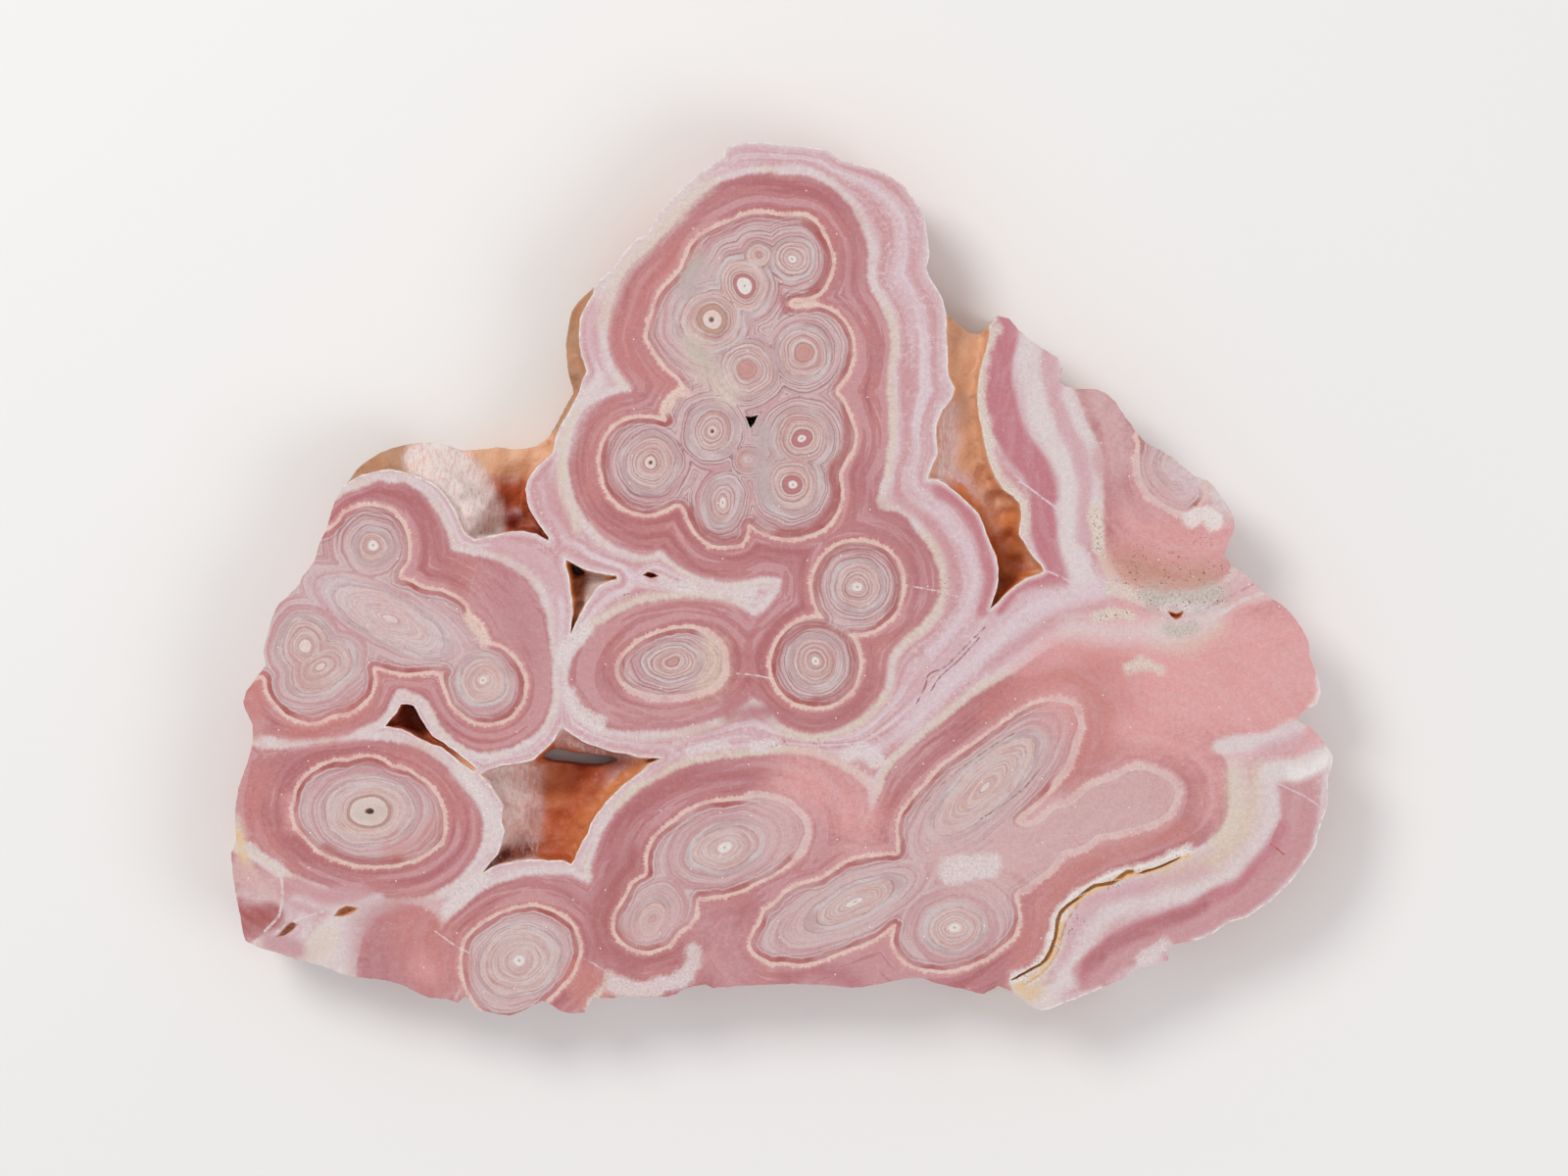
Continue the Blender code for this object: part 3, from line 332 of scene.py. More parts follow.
# Soft strokes of colour over the bands: colour name, width and softness in grid steps, strength,
# line. Later ones lie over earlier ones.
TINTS = [
    ("coral", 26, 14, 0.6, [(700, 262), (668, 285), (648, 315), (641, 345), (652, 372),
                            (678, 390)]),
    ("coral", 20, 14, 0.5, [(600, 500), (606, 455), (622, 425)]),
    ("dark_rose", 8, 4, 0.9, [(797, 304), (804, 316)]),
    ("brick", 7, 2.5, 0.85, [(820, 228), (834, 238), (843, 257), (842, 279), (828, 296)]),
    ("brick", 9, 3, 0.8, [(862, 418), (866, 440), (862, 460), (852, 475), (849, 488), (852, 503),
                          (847, 520), (835, 534), (818, 543), (795, 545)]),
    ("brick", 6, 3, 0.8, [(703, 520), (712, 536), (724, 547), (740, 552), (752, 547)]),
    ("brick", 5, 3, 0.7, [(620, 452), (617, 472), (620, 490), (630, 505), (645, 515), (665, 519)]),
    ("brick", 5, 2.5, 0.7, [(834, 604), (838, 582), (852, 566), (875, 559), (897, 563),
                            (910, 576), (915, 592), (913, 608), (904, 624)]),
    ("brick", 5, 2.5, 0.7, [(793, 680), (797, 663), (810, 648), (832, 637), (856, 646),
                            (868, 660), (872, 677), (866, 694), (850, 710), (828, 714)]),
    ("brick", 5, 3, 0.7, [(528, 680), (531, 695), (529, 712), (520, 724), (505, 732)]),
    ("brick", 6, 3, 0.7, [(348, 780), (372, 777), (392, 781)]),
    ("brick", 7, 3, 0.7, [(330, 864), (350, 873), (380, 879), (410, 876)]),
    ("grey_lilac", 24, 10, 0.8, [(712, 272), (700, 292)]),
    ("sand", 12, 8, 0.6, [(716, 262), (704, 282)]),
    ("ivory", 26, 12, 0.6, [(706, 352), (722, 378), (742, 402)]),
    ("sand", 14, 9, 0.5, [(706, 352), (722, 378)]),
    ("grey_lilac", 20, 8, 0.8, [(778, 440), (776, 480), (784, 510)]),
    ("dark_rose", 14, 8, 0.6, [(850, 200), (868, 225), (874, 255), (874, 285)]),
    ("dark_rose", 14, 9, 0.5, [(880, 470), (884, 500), (905, 530), (930, 560), (940, 600)]),
    ("dark_rose", 16, 8, 0.8, [(745, 728), (790, 726), (830, 738), (868, 725), (893, 690)]),
    ("dark_rose", 16, 8, 0.8, [(700, 800), (740, 793), (780, 793)]),
    ("mauve", 30, 18, 0.4, [(720, 735), (680, 725), (640, 728), (600, 712)]),
    ("dark_rose", 16, 9, 0.5, [(430, 515), (445, 545), (455, 575), (470, 610)]),
    ("rose", 44, 22, 0.6, [(512, 602), (530, 640), (533, 668)]),
    ("plain_pink", 26, 14, 0.4, [(495, 590), (488, 625), (520, 655)]),
    ("lilac_white", 34, 18, 0.3, [(325, 602), (370, 612), (430, 645), (455, 655)]),
    ("coral", 24, 12, 0.7, [(300, 745), (340, 740), (372, 722)]),
    ("coral", 30, 6, 0.9, [(258, 700), (254, 740)]),
    ("pale_rose", 12, 6, 0.8, [(266, 738), (246, 748)]),
    ("lilac", 16, 4, 0.9, [(508, 557), (532, 562), (556, 578), (572, 602)]),
    ("coral", 24, 14, 0.5, [(420, 770), (450, 795), (470, 830)]),
    ("chalk", 18, 8, 0.9, [(470, 785), (490, 808), (505, 835), (505, 860)]),
    ("coral", 14, 8, 0.5, [(398, 868), (425, 860), (442, 838)]),
    ("coral", 24, 12, 0.5, [(270, 790), (258, 830), (275, 865)]),
    ("salmon", 12, 7, 0.6, [(293, 815), (296, 845)]),
    ("ivory", 13, 6, 0.9, [(240, 838), (246, 872), (262, 902), (285, 918)]),
    ("golden", 7, 5, 0.8, [(242, 850), (248, 880), (262, 904)]),
    ("pink_beige", 26, 8, 0.9, [(240, 890), (262, 900), (284, 908)]),
    ("chalk", 8, 6, 0.6, [(242, 912), (262, 918), (284, 924)]),
    ("dark_rose", 24, 8, 1.0, [(250, 944), (280, 936)]),
    ("brick", 20, 8, 0.95, [(250, 938), (275, 934)]),
    ("pale_rose", 30, 6, 1.0, [(300, 908), (330, 920), (368, 918)]),
    ("chalk", 8, 6, 0.7, [(300, 916), (335, 926), (375, 922)]),
    ("chalk", 36, 4, 1.0, [(322, 978), (338, 958), (352, 942)]),
    ("ivory", 26, 12, 0.7, [(318, 974), (334, 956)]),
    ("mauve", 22, 6, 0.9, [(278, 962), (302, 968)]),
    ("chalk", 16, 3, 1.0, [(384, 918), (361, 940), (350, 990)]),
    ("rose", 70, 22, 0.8, [(395, 950), (400, 985), (430, 985)]),
    ("coral", 60, 20, 0.7, [(425, 945), (448, 985)]),
    ("salmon", 18, 18, 0.7, [(430, 984), (436, 992)]),
    ("coral", 38, 7, 0.9, [(592, 998), (604, 1012)]),
    ("dark_rose", 16, 9, 0.6, [(572, 905), (598, 925), (608, 955), (612, 975)]),
    ("peach", 22, 14, 0.7, [(728, 660), (732, 685), (722, 700)]),
    ("pink_beige", 50, 18, 0.6, [(790, 832), (802, 855)]),
    ("pink_beige", 24, 12, 0.6, [(690, 940), (650, 955)]),
    ("salmon", 52, 24, 0.75, [(815, 796), (855, 812), (876, 842)]),
    ("plain_pink", 50, 25, 0.7, [(728, 945), (748, 990)]),
    ("dark_rose", 26, 10, 0.9, [(642, 876), (617, 920), (617, 955), (645, 985)]),
    ("brick", 24, 14, 0.35, [(648, 842), (640, 880), (618, 930), (622, 960)]),
    ("dark_rose", 16, 10, 0.8, [(800, 998), (838, 990), (872, 1000)]),
    ("salmon", 160, 40, 0.95, [(1150, 690), (1200, 680), (1320, 690)]),
    ("salmon", 50, 25, 0.75, [(1120, 660), (1060, 690)]),
    ("coral", 26, 14, 0.75, [(1010, 725), (1040, 705), (1080, 690), (1110, 700)]),
    ("coral", 60, 30, 0.7, [(1122, 690), (1128, 740)]),
    ("coral", 30, 16, 0.7, [(1115, 720), (1118, 755), (1095, 795)]),
    ("salmon", 30, 16, 0.6, [(1150, 745), (1200, 760), (1238, 790), (1235, 825)]),
    ("coral", 26, 14, 0.85, [(1205, 848), (1140, 866), (1080, 905), (1058, 945), (1045, 980)]),
    ("pink_beige", 62, 12, 0.9, [(1040, 868), (1100, 836), (1172, 813)]),
    ("pink_beige", 60, 25, 0.6, [(960, 870), (1000, 900)]),
    ("deep_rose", 14, 4, 0.9, [(958, 502), (975, 510), (995, 535), (1006, 565),
                               (1010, 595), (1004, 622)]),
    ("lilac_white", 11, 7, 0.75, [(925, 512), (955, 525), (978, 550), (990, 580), (990, 608),
                                  (977, 632), (950, 665)]),
    ("plain_pink", 11, 6, 0.7, [(918, 512), (945, 530), (966, 560), (974, 590), (970, 620)]),
    ("deep_rose", 33, 3.5, 1.0, [(1024, 335), (1018, 370), (1020, 410), (1034, 450), (1058, 480),
                                 (1072, 498)]),
    ("deep_rose", 24, 3.5, 1.0, [(1062, 512), (1068, 550), (1078, 585)]),
    ("chalk", 24, 6, 1.0, [(1052, 345), (1053, 385), (1062, 425), (1080, 462), (1092, 500),
                           (1092, 550), (1104, 592)]),
    ("lilac", 16, 5, 0.9, [(1072, 370), (1080, 410), (1098, 455), (1108, 500), (1106, 550)]),
    ("chalk", 9, 4, 1.0, [(1088, 403), (1098, 430), (1112, 455), (1118, 485), (1118, 520)]),
    ("ivory", 10, 4, 1.0, [(1118, 520), (1122, 560), (1136, 592)]),
    ("pink_beige", 34, 14, 0.8, [(1118, 405), (1135, 430), (1142, 470)]),
    ("pink_beige", 40, 16, 0.6, [(1145, 570), (1190, 580), (1235, 570)]),
    ("tan", 44, 16, 0.4, [(1150, 575), (1190, 584), (1225, 578)]),
    ("coral", 34, 16, 0.6, [(1150, 565), (1190, 574), (1230, 568)]),
    ("ochre", 26, 14, 0.35, [(1155, 580), (1190, 588), (1225, 584)]),
    ("sand", 30, 12, 0.6, [(1180, 612), (1210, 618), (1242, 610)]),
    ("ivory", 22, 12, 0.6, [(1180, 648), (1210, 655), (1238, 640)]),
    ("salmon", 46, 20, 0.8, [(1160, 530), (1210, 552), (1250, 545)]),
    ("plain_pink", 24, 12, 0.6, [(1122, 470), (1140, 500), (1170, 520)]),
    ("chalk", 30, 16, 0.9, [(1236, 490), (1252, 515)]),
    ("deep_rose", 9, 4, 1.0, [(1086, 594), (1062, 592), (1040, 602), (1020, 624)]),
    ("lilac_white", 22, 12, 0.9, [(1125, 600), (1080, 612), (1040, 636), (1005, 665), (960, 705),
                                  (925, 745)]),
    ("plain_pink", 10, 6, 0.6, [(1130, 618), (1090, 626), (1050, 648), (1010, 680)]),
    ("chalk", 24, 14, 0.7, [(1095, 640), (1150, 645), (1200, 640), (1240, 622)]),
    ("chalk", 17, 3.5, 1.0, [(1246, 762), (1290, 755), (1322, 742)]),
    ("peach", 22, 12, 0.9, [(1285, 790), (1280, 830), (1258, 862), (1230, 885), (1190, 898)]),
    ("ivory", 18, 9, 0.9, [(1258, 790), (1262, 830), (1246, 858)]),
    ("chalk", 22, 12, 0.9, [(1298, 800), (1292, 845), (1262, 885), (1215, 910), (1160, 922),
                            (1125, 935), (1108, 962), (1088, 990)]),
    ("lilac", 14, 8, 0.8, [(1230, 888), (1175, 903), (1120, 915), (1095, 945), (1082, 975)]),
    ("plain_pink", 36, 3, 1.0, [(1322, 800), (1324, 835), (1310, 872), (1280, 907), (1235, 934),
                                (1180, 955), (1140, 972), (1112, 994)]),
    ("deep_rose", 15, 4, 0.9, [(1308, 845), (1296, 866), (1268, 897), (1228, 922), (1180, 940),
                               (1145, 955), (1120, 975), (1106, 995)]),
    ("chalk", 22, 4, 1.0, [(1296, 787), (1322, 784), (1352, 772)]),
    ("lilac", 16, 8, 0.8, [(1290, 765), (1325, 755)]),
    ("dark_rose", 13, 5, 0.9, [(1228, 924), (1180, 944), (1140, 961), (1112, 985)]),
    ("peach", 30, 10, 0.9, [(1048, 1008), (1068, 1022)]),
    ("golden", 9, 6, 0.5, [(1040, 1003), (1056, 1018)]),
    ("chalk", 16, 8, 0.9, [(1090, 1000), (1075, 1015), (1060, 1028)]),
    ("white", 16, 6, 0.9, [(1322, 789), (1340, 784), (1355, 774)]),
    ("white", 6, 2.5, 0.9, [(1344, 692), (1346, 714), (1336, 722)]),
    ("pink_beige", 18, 8, 0.5, [(1168, 470), (1180, 500), (1205, 515)]),
    ("lilac_white", 30, 10, 0.6, [(1205, 480), (1214, 494)]),
    ("sand", 22, 6, 0.45, [(370, 828), (384, 829)]),
    ("chalk", 26, 14, 0.8, [(712, 180), (680, 215), (650, 245), (628, 272), (612, 305)]),
    ("lilac", 10, 6, 0.7, [(603, 310), (602, 340), (610, 365)]),
    ("chalk", 20, 10, 0.8, [(610, 390), (585, 425), (574, 455)]),
    ("plain_pink", 9, 5, 0.7, [(560, 465), (557, 490), (566, 520), (585, 545)]),
    ("ivory", 9, 4, 0.8, [(590, 540), (576, 505), (573, 470), (578, 440), (590, 418)]),
    ("ivory", 10, 7, 0.75, [(722, 188), (692, 215), (664, 246), (640, 270), (624, 298),
                            (613, 330)]),
]

# Where the teeth of the first front are long: width, softness, line.
TOOTHED = [
    (26, 8, [(1052, 840), (1072, 828), (1095, 816), (1120, 798), (1150, 785), (1175, 785),
             (1200, 800), (1199, 822), (1180, 840), (1150, 849), (1122, 854), (1100, 868),
             (1070, 890), (1050, 905)]),
    (18, 8, [(1082, 714), (1098, 720), (1103, 742), (1094, 770), (1080, 795)]),
    (14, 6, [(765, 812), (790, 814), (812, 826), (824, 846), (816, 870)]),
    (14, 6, [(1161, 470), (1170, 503), (1195, 521), (1215, 526)]),
    (12, 6, [(640, 705), (690, 712), (735, 695), (739, 670), (720, 645)]),
]

# Where the band outside the second front is cream instead of white: width, softness, line.
CREAMY = [
    (44, 12, [(1000, 697), (965, 722), (930, 755), (905, 790)]),
    (36, 10, [(950, 560), (960, 600), (955, 625), (935, 650)]),
    (36, 10, [(900, 722), (868, 745), (830, 753)]),
    (44, 12, [(630, 805), (700, 768), (760, 762), (830, 764), (870, 782)]),
    (36, 10, [(610, 628), (650, 612), (700, 605)]),
    (34, 10, [(908, 330), (912, 375), (910, 430), (902, 470)]),
    (40, 14, [(680, 230), (650, 262)]),
]

# Where the lines between the rings are faint: width, softness, line.
FAINT = [
    (150, 16, [(310, 660), (390, 625), (480, 690)]), (120, 20, [(340, 830), (420, 830)]),
    (130, 16, [(520, 980), (540, 980)]), (110, 14, [(665, 938), (680, 880), (760, 850)]),
    (130, 16, [(870, 925), (975, 945)]), (110, 16, [(980, 850), (1050, 760)]),
    (70, 10, [(1203, 474), (1215, 490)]), (46, 14, [(706, 268), (684, 320), (700, 372)]),
    (90, 14, [(870, 920), (800, 960)]),
]

# Patches with crumbled edges: colour name, width in grid steps, line.
PATCHES = [
    ("chalk", 25, [(972, 888), (1008, 883)]),
    ("white", 16, [(1215, 530), (1228, 524), (1238, 530)]),
    ("cream", 9, [(479, 630), (487, 643), (494, 654)]),
    ("cream", 10, [(697, 399), (686, 405), (679, 420)]),
    ("cream", 3, [(806, 309), (820, 310), (835, 308)]),
    ("white", 7, [(1034, 999), (1058, 985), (1071, 964), (1080, 936), (1095, 915), (1118, 901),
                  (1146, 889), (1180, 880), (1212, 867)]),
    ("chalk", 16, [(625, 1003), (652, 1009), (685, 1003), (704, 988), (710, 972)]),
    ("chalk", 11, [(598, 644), (582, 655), (573, 672)]),
    ("chalk", 11, [(580, 706), (590, 724), (612, 738)]),
    ("chalk", 9, [(676, 592), (700, 599), (735, 604), (765, 606)]),
    ("chalk", 14, [(866, 770), (882, 766), (894, 776)]),
    ("chalk", 8, [(705, 768), (722, 762), (742, 762)]),
    ("chalk", 8, [(770, 762), (790, 757)]),
    ("chalk", 12, [(492, 893), (476, 908), (456, 930)]),
    ("chalk", 9, [(476, 790), (488, 812)]),
    ("ivory", 8, [(1133, 600), (1150, 604)]),
    ("ivory", 9, [(1120, 629), (1138, 625), (1152, 629)]),
    ("ivory", 9, [(1152, 680), (1166, 677), (1182, 683)]),
    ("sand", 13, [(1166, 608), (1185, 612), (1205, 609), (1225, 606), (1240, 603)]),
    ("chalk", 7, [(1188, 621), (1196, 613), (1210, 618)]),
    ("chalk", 7, [(1214, 622), (1232, 618)]),
    ("sand", 8, [(1190, 640), (1205, 645), (1218, 638)]),
    ("sand", 9, [(1222, 622), (1240, 612)]),
    ("ivory", 8, [(1146, 606), (1165, 612)]),
    ("ivory", 7, [(1017, 336), (1008, 350), (1003, 372), (1001, 398), (1006, 438), (1014, 472)]),
    ("ivory", 8, [(1014, 472), (1026, 494), (1041, 508), (1045, 525), (1045, 545)]),
    ("ivory", 7, [(1116, 528), (1120, 545), (1119, 560)]),
    ("ivory", 8, [(1050, 1003), (1070, 985), (1082, 958)]),
    ("rust", 4, [(1144, 893), (1148, 892)]),
    ("chalk", 6, [(262, 872), (275, 880), (290, 890)]),
    ("chalk", 9, [(1165, 980), (1182, 968), (1192, 962)]),
    ("ivory", 5, [(599, 1028), (607, 1017), (616, 1007), (622, 995)]),
]

# Thin lines: colour name, width in grid steps, line.
THIN_LINES = [
    ("line_mauve", 1.3, [(1005, 640), (985, 660), (965, 680), (948, 688), (944, 701), (935, 718)]),
    ("line_mauve", 1.1, [(1000, 650), (980, 672), (960, 690), (950, 705)]),
    ("mauve", 1.1, [(318, 625), (340, 630), (356, 645), (366, 662), (378, 672)]),
    ("ring_brown", 1.0, [(945, 818), (965, 797), (990, 777), (1015, 760), (1035, 748)]),
    ("ring_brown", 1.0, [(1000, 836), (1022, 822), (1045, 804), (1060, 786)]),
    ("chalk", 1.3, [(925, 597), (945, 601), (962, 604), (985, 612)]),
    ("chalk", 1.2, [(752, 687), (770, 689), (790, 693)]),
    ("pale_rose", 1.2, [(1203, 803), (1222, 801), (1240, 800)]),
    ("chalk", 1.6, [(592, 978), (605, 983), (618, 991)]),
    ("pale_rose", 1.0, [(487, 574), (481, 598), (478, 620)]),
    ("ivory", 5, [(236, 862), (262, 872), (280, 885), (300, 895)]),
    ("chalk", 2.5, [(287, 893), (288, 915), (284, 935), (270, 950)]),
    ("chalk", 2.2, [(280, 953), (300, 940), (330, 930)]),
    ("lilac_white", 1.8, [(1040, 490), (1060, 505), (1080, 520)]),
    ("lilac_white", 1.8, [(1012, 620), (1030, 603), (1050, 590), (1066, 583), (1085, 590),
                          (1095, 596)]),
    ("lilac_white", 1.5, [(1305, 800), (1330, 812), (1350, 825)]),
    ("mauve", 2.4, [(1232, 620), (1262, 605), (1290, 590)]),
    ("chalk", 4, [(1238, 632), (1265, 614), (1300, 601)]),
    ("chalk", 1.2, [(444, 950), (460, 962), (478, 972)]),
    ("rust", 1.2, [(1296, 861), (1303, 866), (1310, 872)]),
    ("pale_rose", 1.0, [(838, 862), (855, 852), (872, 846)]),
    ("golden", 4.2, [(1038, 1008), (1062, 992), (1077, 971), (1085, 941), (1099, 921), (1123, 906),
                     (1147, 896), (1181, 887), (1213, 873)]),
    ("ochre", 1.4, [(1046, 1004), (1064, 992), (1079, 972), (1087, 944), (1100, 923)]),
    ("white", 3.4, [(1032, 1001), (1056, 986), (1070, 966), (1079, 937), (1093, 915), (1118, 900),
                    (1145, 889), (1178, 881), (1210, 868)]),
]

# Strokes of colour on the natural skin: colour name, width, softness, strength, line.
SKIN_TINTS = [
    ("ochre", 60, 10, 1.0, [(585, 300), (580, 350), (590, 395), (560, 440)]),
    ("ochre", 46, 12, 1.0, [(350, 480), (400, 462), (445, 458)]),
    ("tan", 46, 8, 1.0, [(492, 464), (520, 466), (552, 460)]),
    ("orange", 30, 8, 1.0, [(500, 502), (522, 506), (548, 500)]),
    ("rust", 24, 10, 1.0, [(520, 538), (552, 538)]),
    ("skin_white", 52, 6, 1.0, [(440, 470), (462, 486), (480, 512), (484, 545)]),
    ("orange", 64, 10, 1.0, [(585, 775), (580, 840), (590, 880)]),
    ("skin_pink", 56, 5, 1.0, [(519, 790), (519, 868)]),
    ("skin_white", 34, 16, 0.9, [(510, 800), (506, 872)]),
    ("amber", 26, 16, 0.5, [(560, 792), (563, 812)]),
    ("amber", 30, 18, 0.9, [(620, 815), (604, 850), (590, 872)]),
    ("rust", 14, 10, 0.9, [(628, 778), (606, 797), (598, 812)]),
    ("orange", 12, 6, 1.0, [(510, 878), (540, 870), (575, 873)]),
    ("skin_pink", 24, 10, 0.9, [(575, 750), (610, 760), (640, 765)]),
    ("tan", 56, 12, 1.0, [(985, 330), (990, 400), (988, 455)]),
    ("skin_pink", 22, 12, 0.9, [(968, 415), (968, 450), (960, 490)]),
    ("tan", 40, 12, 0.8, [(1005, 450), (1015, 495), (1022, 522)]),
    ("amber", 26, 10, 1.0, [(1032, 530), (1036, 548)]),
    ("amber", 26, 12, 1.0, [(1036, 560), (1030, 585), (1020, 612)]),
    ("tan", 13, 4, 1.0, [(1047, 528), (1051, 556), (1060, 580)]),
    ("rust", 60, 20, 1.0, [(415, 730), (440, 755)]),
    ("amber", 26, 8, 1.0, [(584, 590), (586, 640)]),
    ("skin_white", 26, 8, 1.0, [(606, 590), (603, 632)]),
    ("tan", 40, 14, 1.0, [(340, 928), (360, 925)]),
    ("tan", 40, 14, 1.0, [(290, 945), (305, 940)]),
    ("skin_pink", 16, 8, 0.6, [(290, 952), (298, 944)]),
    ("golden", 26, 14, 1.0, [(1028, 1008), (1060, 991), (1080, 950), (1100, 920), (1146, 895),
                             (1215, 868)]),
    ("tan", 30, 12, 1.0, [(1090, 395), (1110, 400)]),
    ("amber", 24, 8, 1.0, [(1190, 628), (1206, 630)]),
    ("orange", 20, 6, 1.0, [(656, 587), (674, 588)]),
]

# Where the natural skin is fibrous: width, softness, line.
FIBROUS = [
    (54, 5, [(519, 790), (519, 868)]), (60, 8, [(440, 470), (462, 486), (482, 520)]),
    (28, 8, [(575, 750), (610, 760), (640, 765)]), (22, 10, [(968, 415), (962, 490)]),
]

# Where brown pits dot the polished face: width, softness, line.
PITTED = [
    (46, 14, [(1140, 575), (1190, 580), (1235, 572)]), (14, 6, [(1117, 528), (1120, 560)]),
    (30, 8, [(1176, 612), (1205, 618), (1240, 608)]), (12, 6, [(965, 590), (966, 612)]),
    (14, 6, [(1125, 628), (1150, 628)]),
    (9, 5, [(785, 760), (810, 758), (840, 760)]), (8, 5, [(620, 612), (650, 605)]),
    (10, 5, [(1044, 1000), (1150, 893), (1210, 870)]),
]


def srgb(red, green, blue):
    """A colour given as display values from 0 to 255, in linear light."""
    values = [value / 255 for value in (red, green, blue)]
    return tuple(v / 12.92 if v <= 0.04045 else ((v + 0.055) / 1.055) ** 2.4 for v in values)


def colour_value(name, description, *display):
    return FloatVectorProperty(name=name, description=description, subtype="COLOR", size=3,
                               min=0.0, max=1.0, default=srgb(*display))


def length_value(name, description, metres):
    return FloatProperty(name=name, description=description, default=metres, min=0.0,
                         precision=5, unit="LENGTH", subtype="DISTANCE")


class SliceSizes(bpy.types.PropertyGroup):
    """Sizes of the finished stone."""

    face_step: length_value("Face step", "Spacing of the points on the polished face", 0.00047)
    back_step: length_value("Back step", "Spacing of the points on the sawn back", 0.0012)
    fray: length_value("Edge fray", "How far the edge of the polished face wanders", 0.00010)
    skin_grain: length_value("Skin grain", "Height of the grains of the natural skin", 0.00016)
    skin_grain_size: length_value("Skin grain size", "Width of a grain of the skin", 0.0009)
    lean: FloatProperty(name="Lean", description="Sideways run of the stalactites per depth",
                        default=0.11, min=0.0, max=1.0)


class SliceColours(bpy.types.PropertyGroup):
    """Colours of the stone's bands and of its natural skin."""

    cream: colour_value("Cream", "Toothed line at the first growth front", 231, 197, 180)
    rose: colour_value("Rose", "Main colour of the rose zone", 187, 124, 127)
    pale_rose: colour_value("Pale rose", "Lighter lines in the rose zone", 203, 150, 152)
    dark_rose: colour_value("Dark rose", "Darker lines in the rose zone", 178, 107, 110)
    coral: colour_value("Coral", "Warm parts of the rose zone", 200, 128, 121)
    brick: colour_value("Brick", "Narrow ring just inside the first front", 168, 84, 80)
    mauve: colour_value("Mauve", "Pinkish ground of the outer rings", 199, 152, 154)
    line_mauve: colour_value("Mauve line", "Thin lines between the outer rings", 140, 88, 92)
    grey_lilac: colour_value("Grey lilac", "Clear stone between the rings", 191, 169, 167)
    ring_beige: colour_value("Ring beige", "Ground of the rings round a heart", 205, 173, 166)
    ring_pink: colour_value("Ring pink", "Pink rings round a heart", 197, 150, 147)
    ring_brown: colour_value("Ring brown", "Thin lines round a heart", 156, 108, 101)
    chalk: colour_value("Chalk", "White bands and patches", 222, 207, 205)
    # White also paints the glints, which are painted highlights on the crystals.
    white: colour_value("White", "White hearts, crumbs and glints", 236, 228, 222)
    ivory: colour_value("Ivory", "Cream parts of the white bands", 219, 201, 184)
    lilac: colour_value("Lilac", "Stripes between the second front and the rim", 211, 168, 172)
    lilac_white: colour_value("Lilac white", "Pale stripes beside the lilac", 220, 199, 203)
    deep_rose: colour_value("Deep rose", "Stripe next to some rims", 194, 121, 129)
    plain_pink: colour_value("Plain pink", "Pink stone without bands", 202, 147, 149)
    salmon: colour_value("Salmon", "Plain stone of the right end", 226, 163, 161)
    pink_beige: colour_value("Pink beige", "Finger and pale middle of a cluster", 212, 170, 168)
    peach: colour_value("Peach", "Warm stain beside the lower right rim", 219, 196, 174)
    sand: colour_value("Sand", "Greenish grey crumbs", 185, 174, 160)
    golden: colour_value("Golden", "Stained wall of the crack", 232, 190, 135)
    tan: colour_value("Tan", "Shallow natural skin", 226, 176, 140)
    rust: colour_value("Rust", "Red-brown natural skin", 168, 76, 48)
    orange: colour_value("Orange", "Orange natural skin", 184, 86, 44)
    ochre: colour_value("Ochre", "Brownish skin of the upper rims", 176, 130, 98)
    amber: colour_value("Amber", "Lighter orange natural skin", 216, 138, 84)
    pit: colour_value("Pit", "Brown specks in porous stone", 118, 78, 56)
    skin_white: colour_value("Skin white", "White fibrous skin", 226, 212, 206)
    skin_pink: colour_value("Skin pink", "Pinkish crystal skin", 228, 192, 186)
    dust: colour_value("Dust", "Fine dust of the sawn back", 226, 214, 210)


class StageSettings(bpy.types.PropertyGroup):
    """The floor, the light and the camera."""

    floor_width: length_value("Floor width", "Side of the floor", 6.0)
    floor: colour_value("Floor", "Colour of the floor", 236, 234, 231)
    lens: FloatProperty(name="Lens", description="Focal length of the camera in millimetres",
                        default=100.0, min=20.0, max=300.0)
    key_power: FloatProperty(name="Key light", description="Power of the main soft light in watts",
                             default=3.0, min=0.0)
    fill_power: FloatProperty(name="Fill light", description="Power of the fill light in watts",
                              default=1.6, min=0.0)
    sky: FloatProperty(name="Sky", description="Strength of the pale surroundings", default=0.62,
                       min=0.0)


# Lines on the grid.

def to_grid(places):
    """Places in metres as points on the survey grid."""
    return np.column_stack([places[:, 0], -places[:, 1]]) / UNIT + GRID_MIDDLE


def to_metres(points):
    return (np.asarray(points) - GRID_MIDDLE) * (UNIT, -UNIT)


def rounded(points, closed, step):
    """A smooth curve through the points, with a point about every step."""
    marks = [np.array(point, float) for point in points]
    count = len(marks)
    path = []
    for i in range(count if closed else count - 1):
        start, end = marks[i], marks[(i + 1) % count]
        before = marks[i - 1] if closed or i else start
        after = marks[(i + 2) % count] if closed or i + 2 < count else end
        pieces = max(1, round(np.linalg.norm(end - start) / step))
        t = (np.arange(pieces) / pieces)[:, None]
        path.append((2 * t**3 - 3 * t**2 + 1) * start + (3 * t**2 - 2 * t**3) * end
                    + (t**3 - 2 * t**2 + t) * (end - before) / 2
                    + (t**3 - t**2) * (after - start) / 2)
    if not closed:
        path.append(marks[-1][None])
    return np.vstack(path)


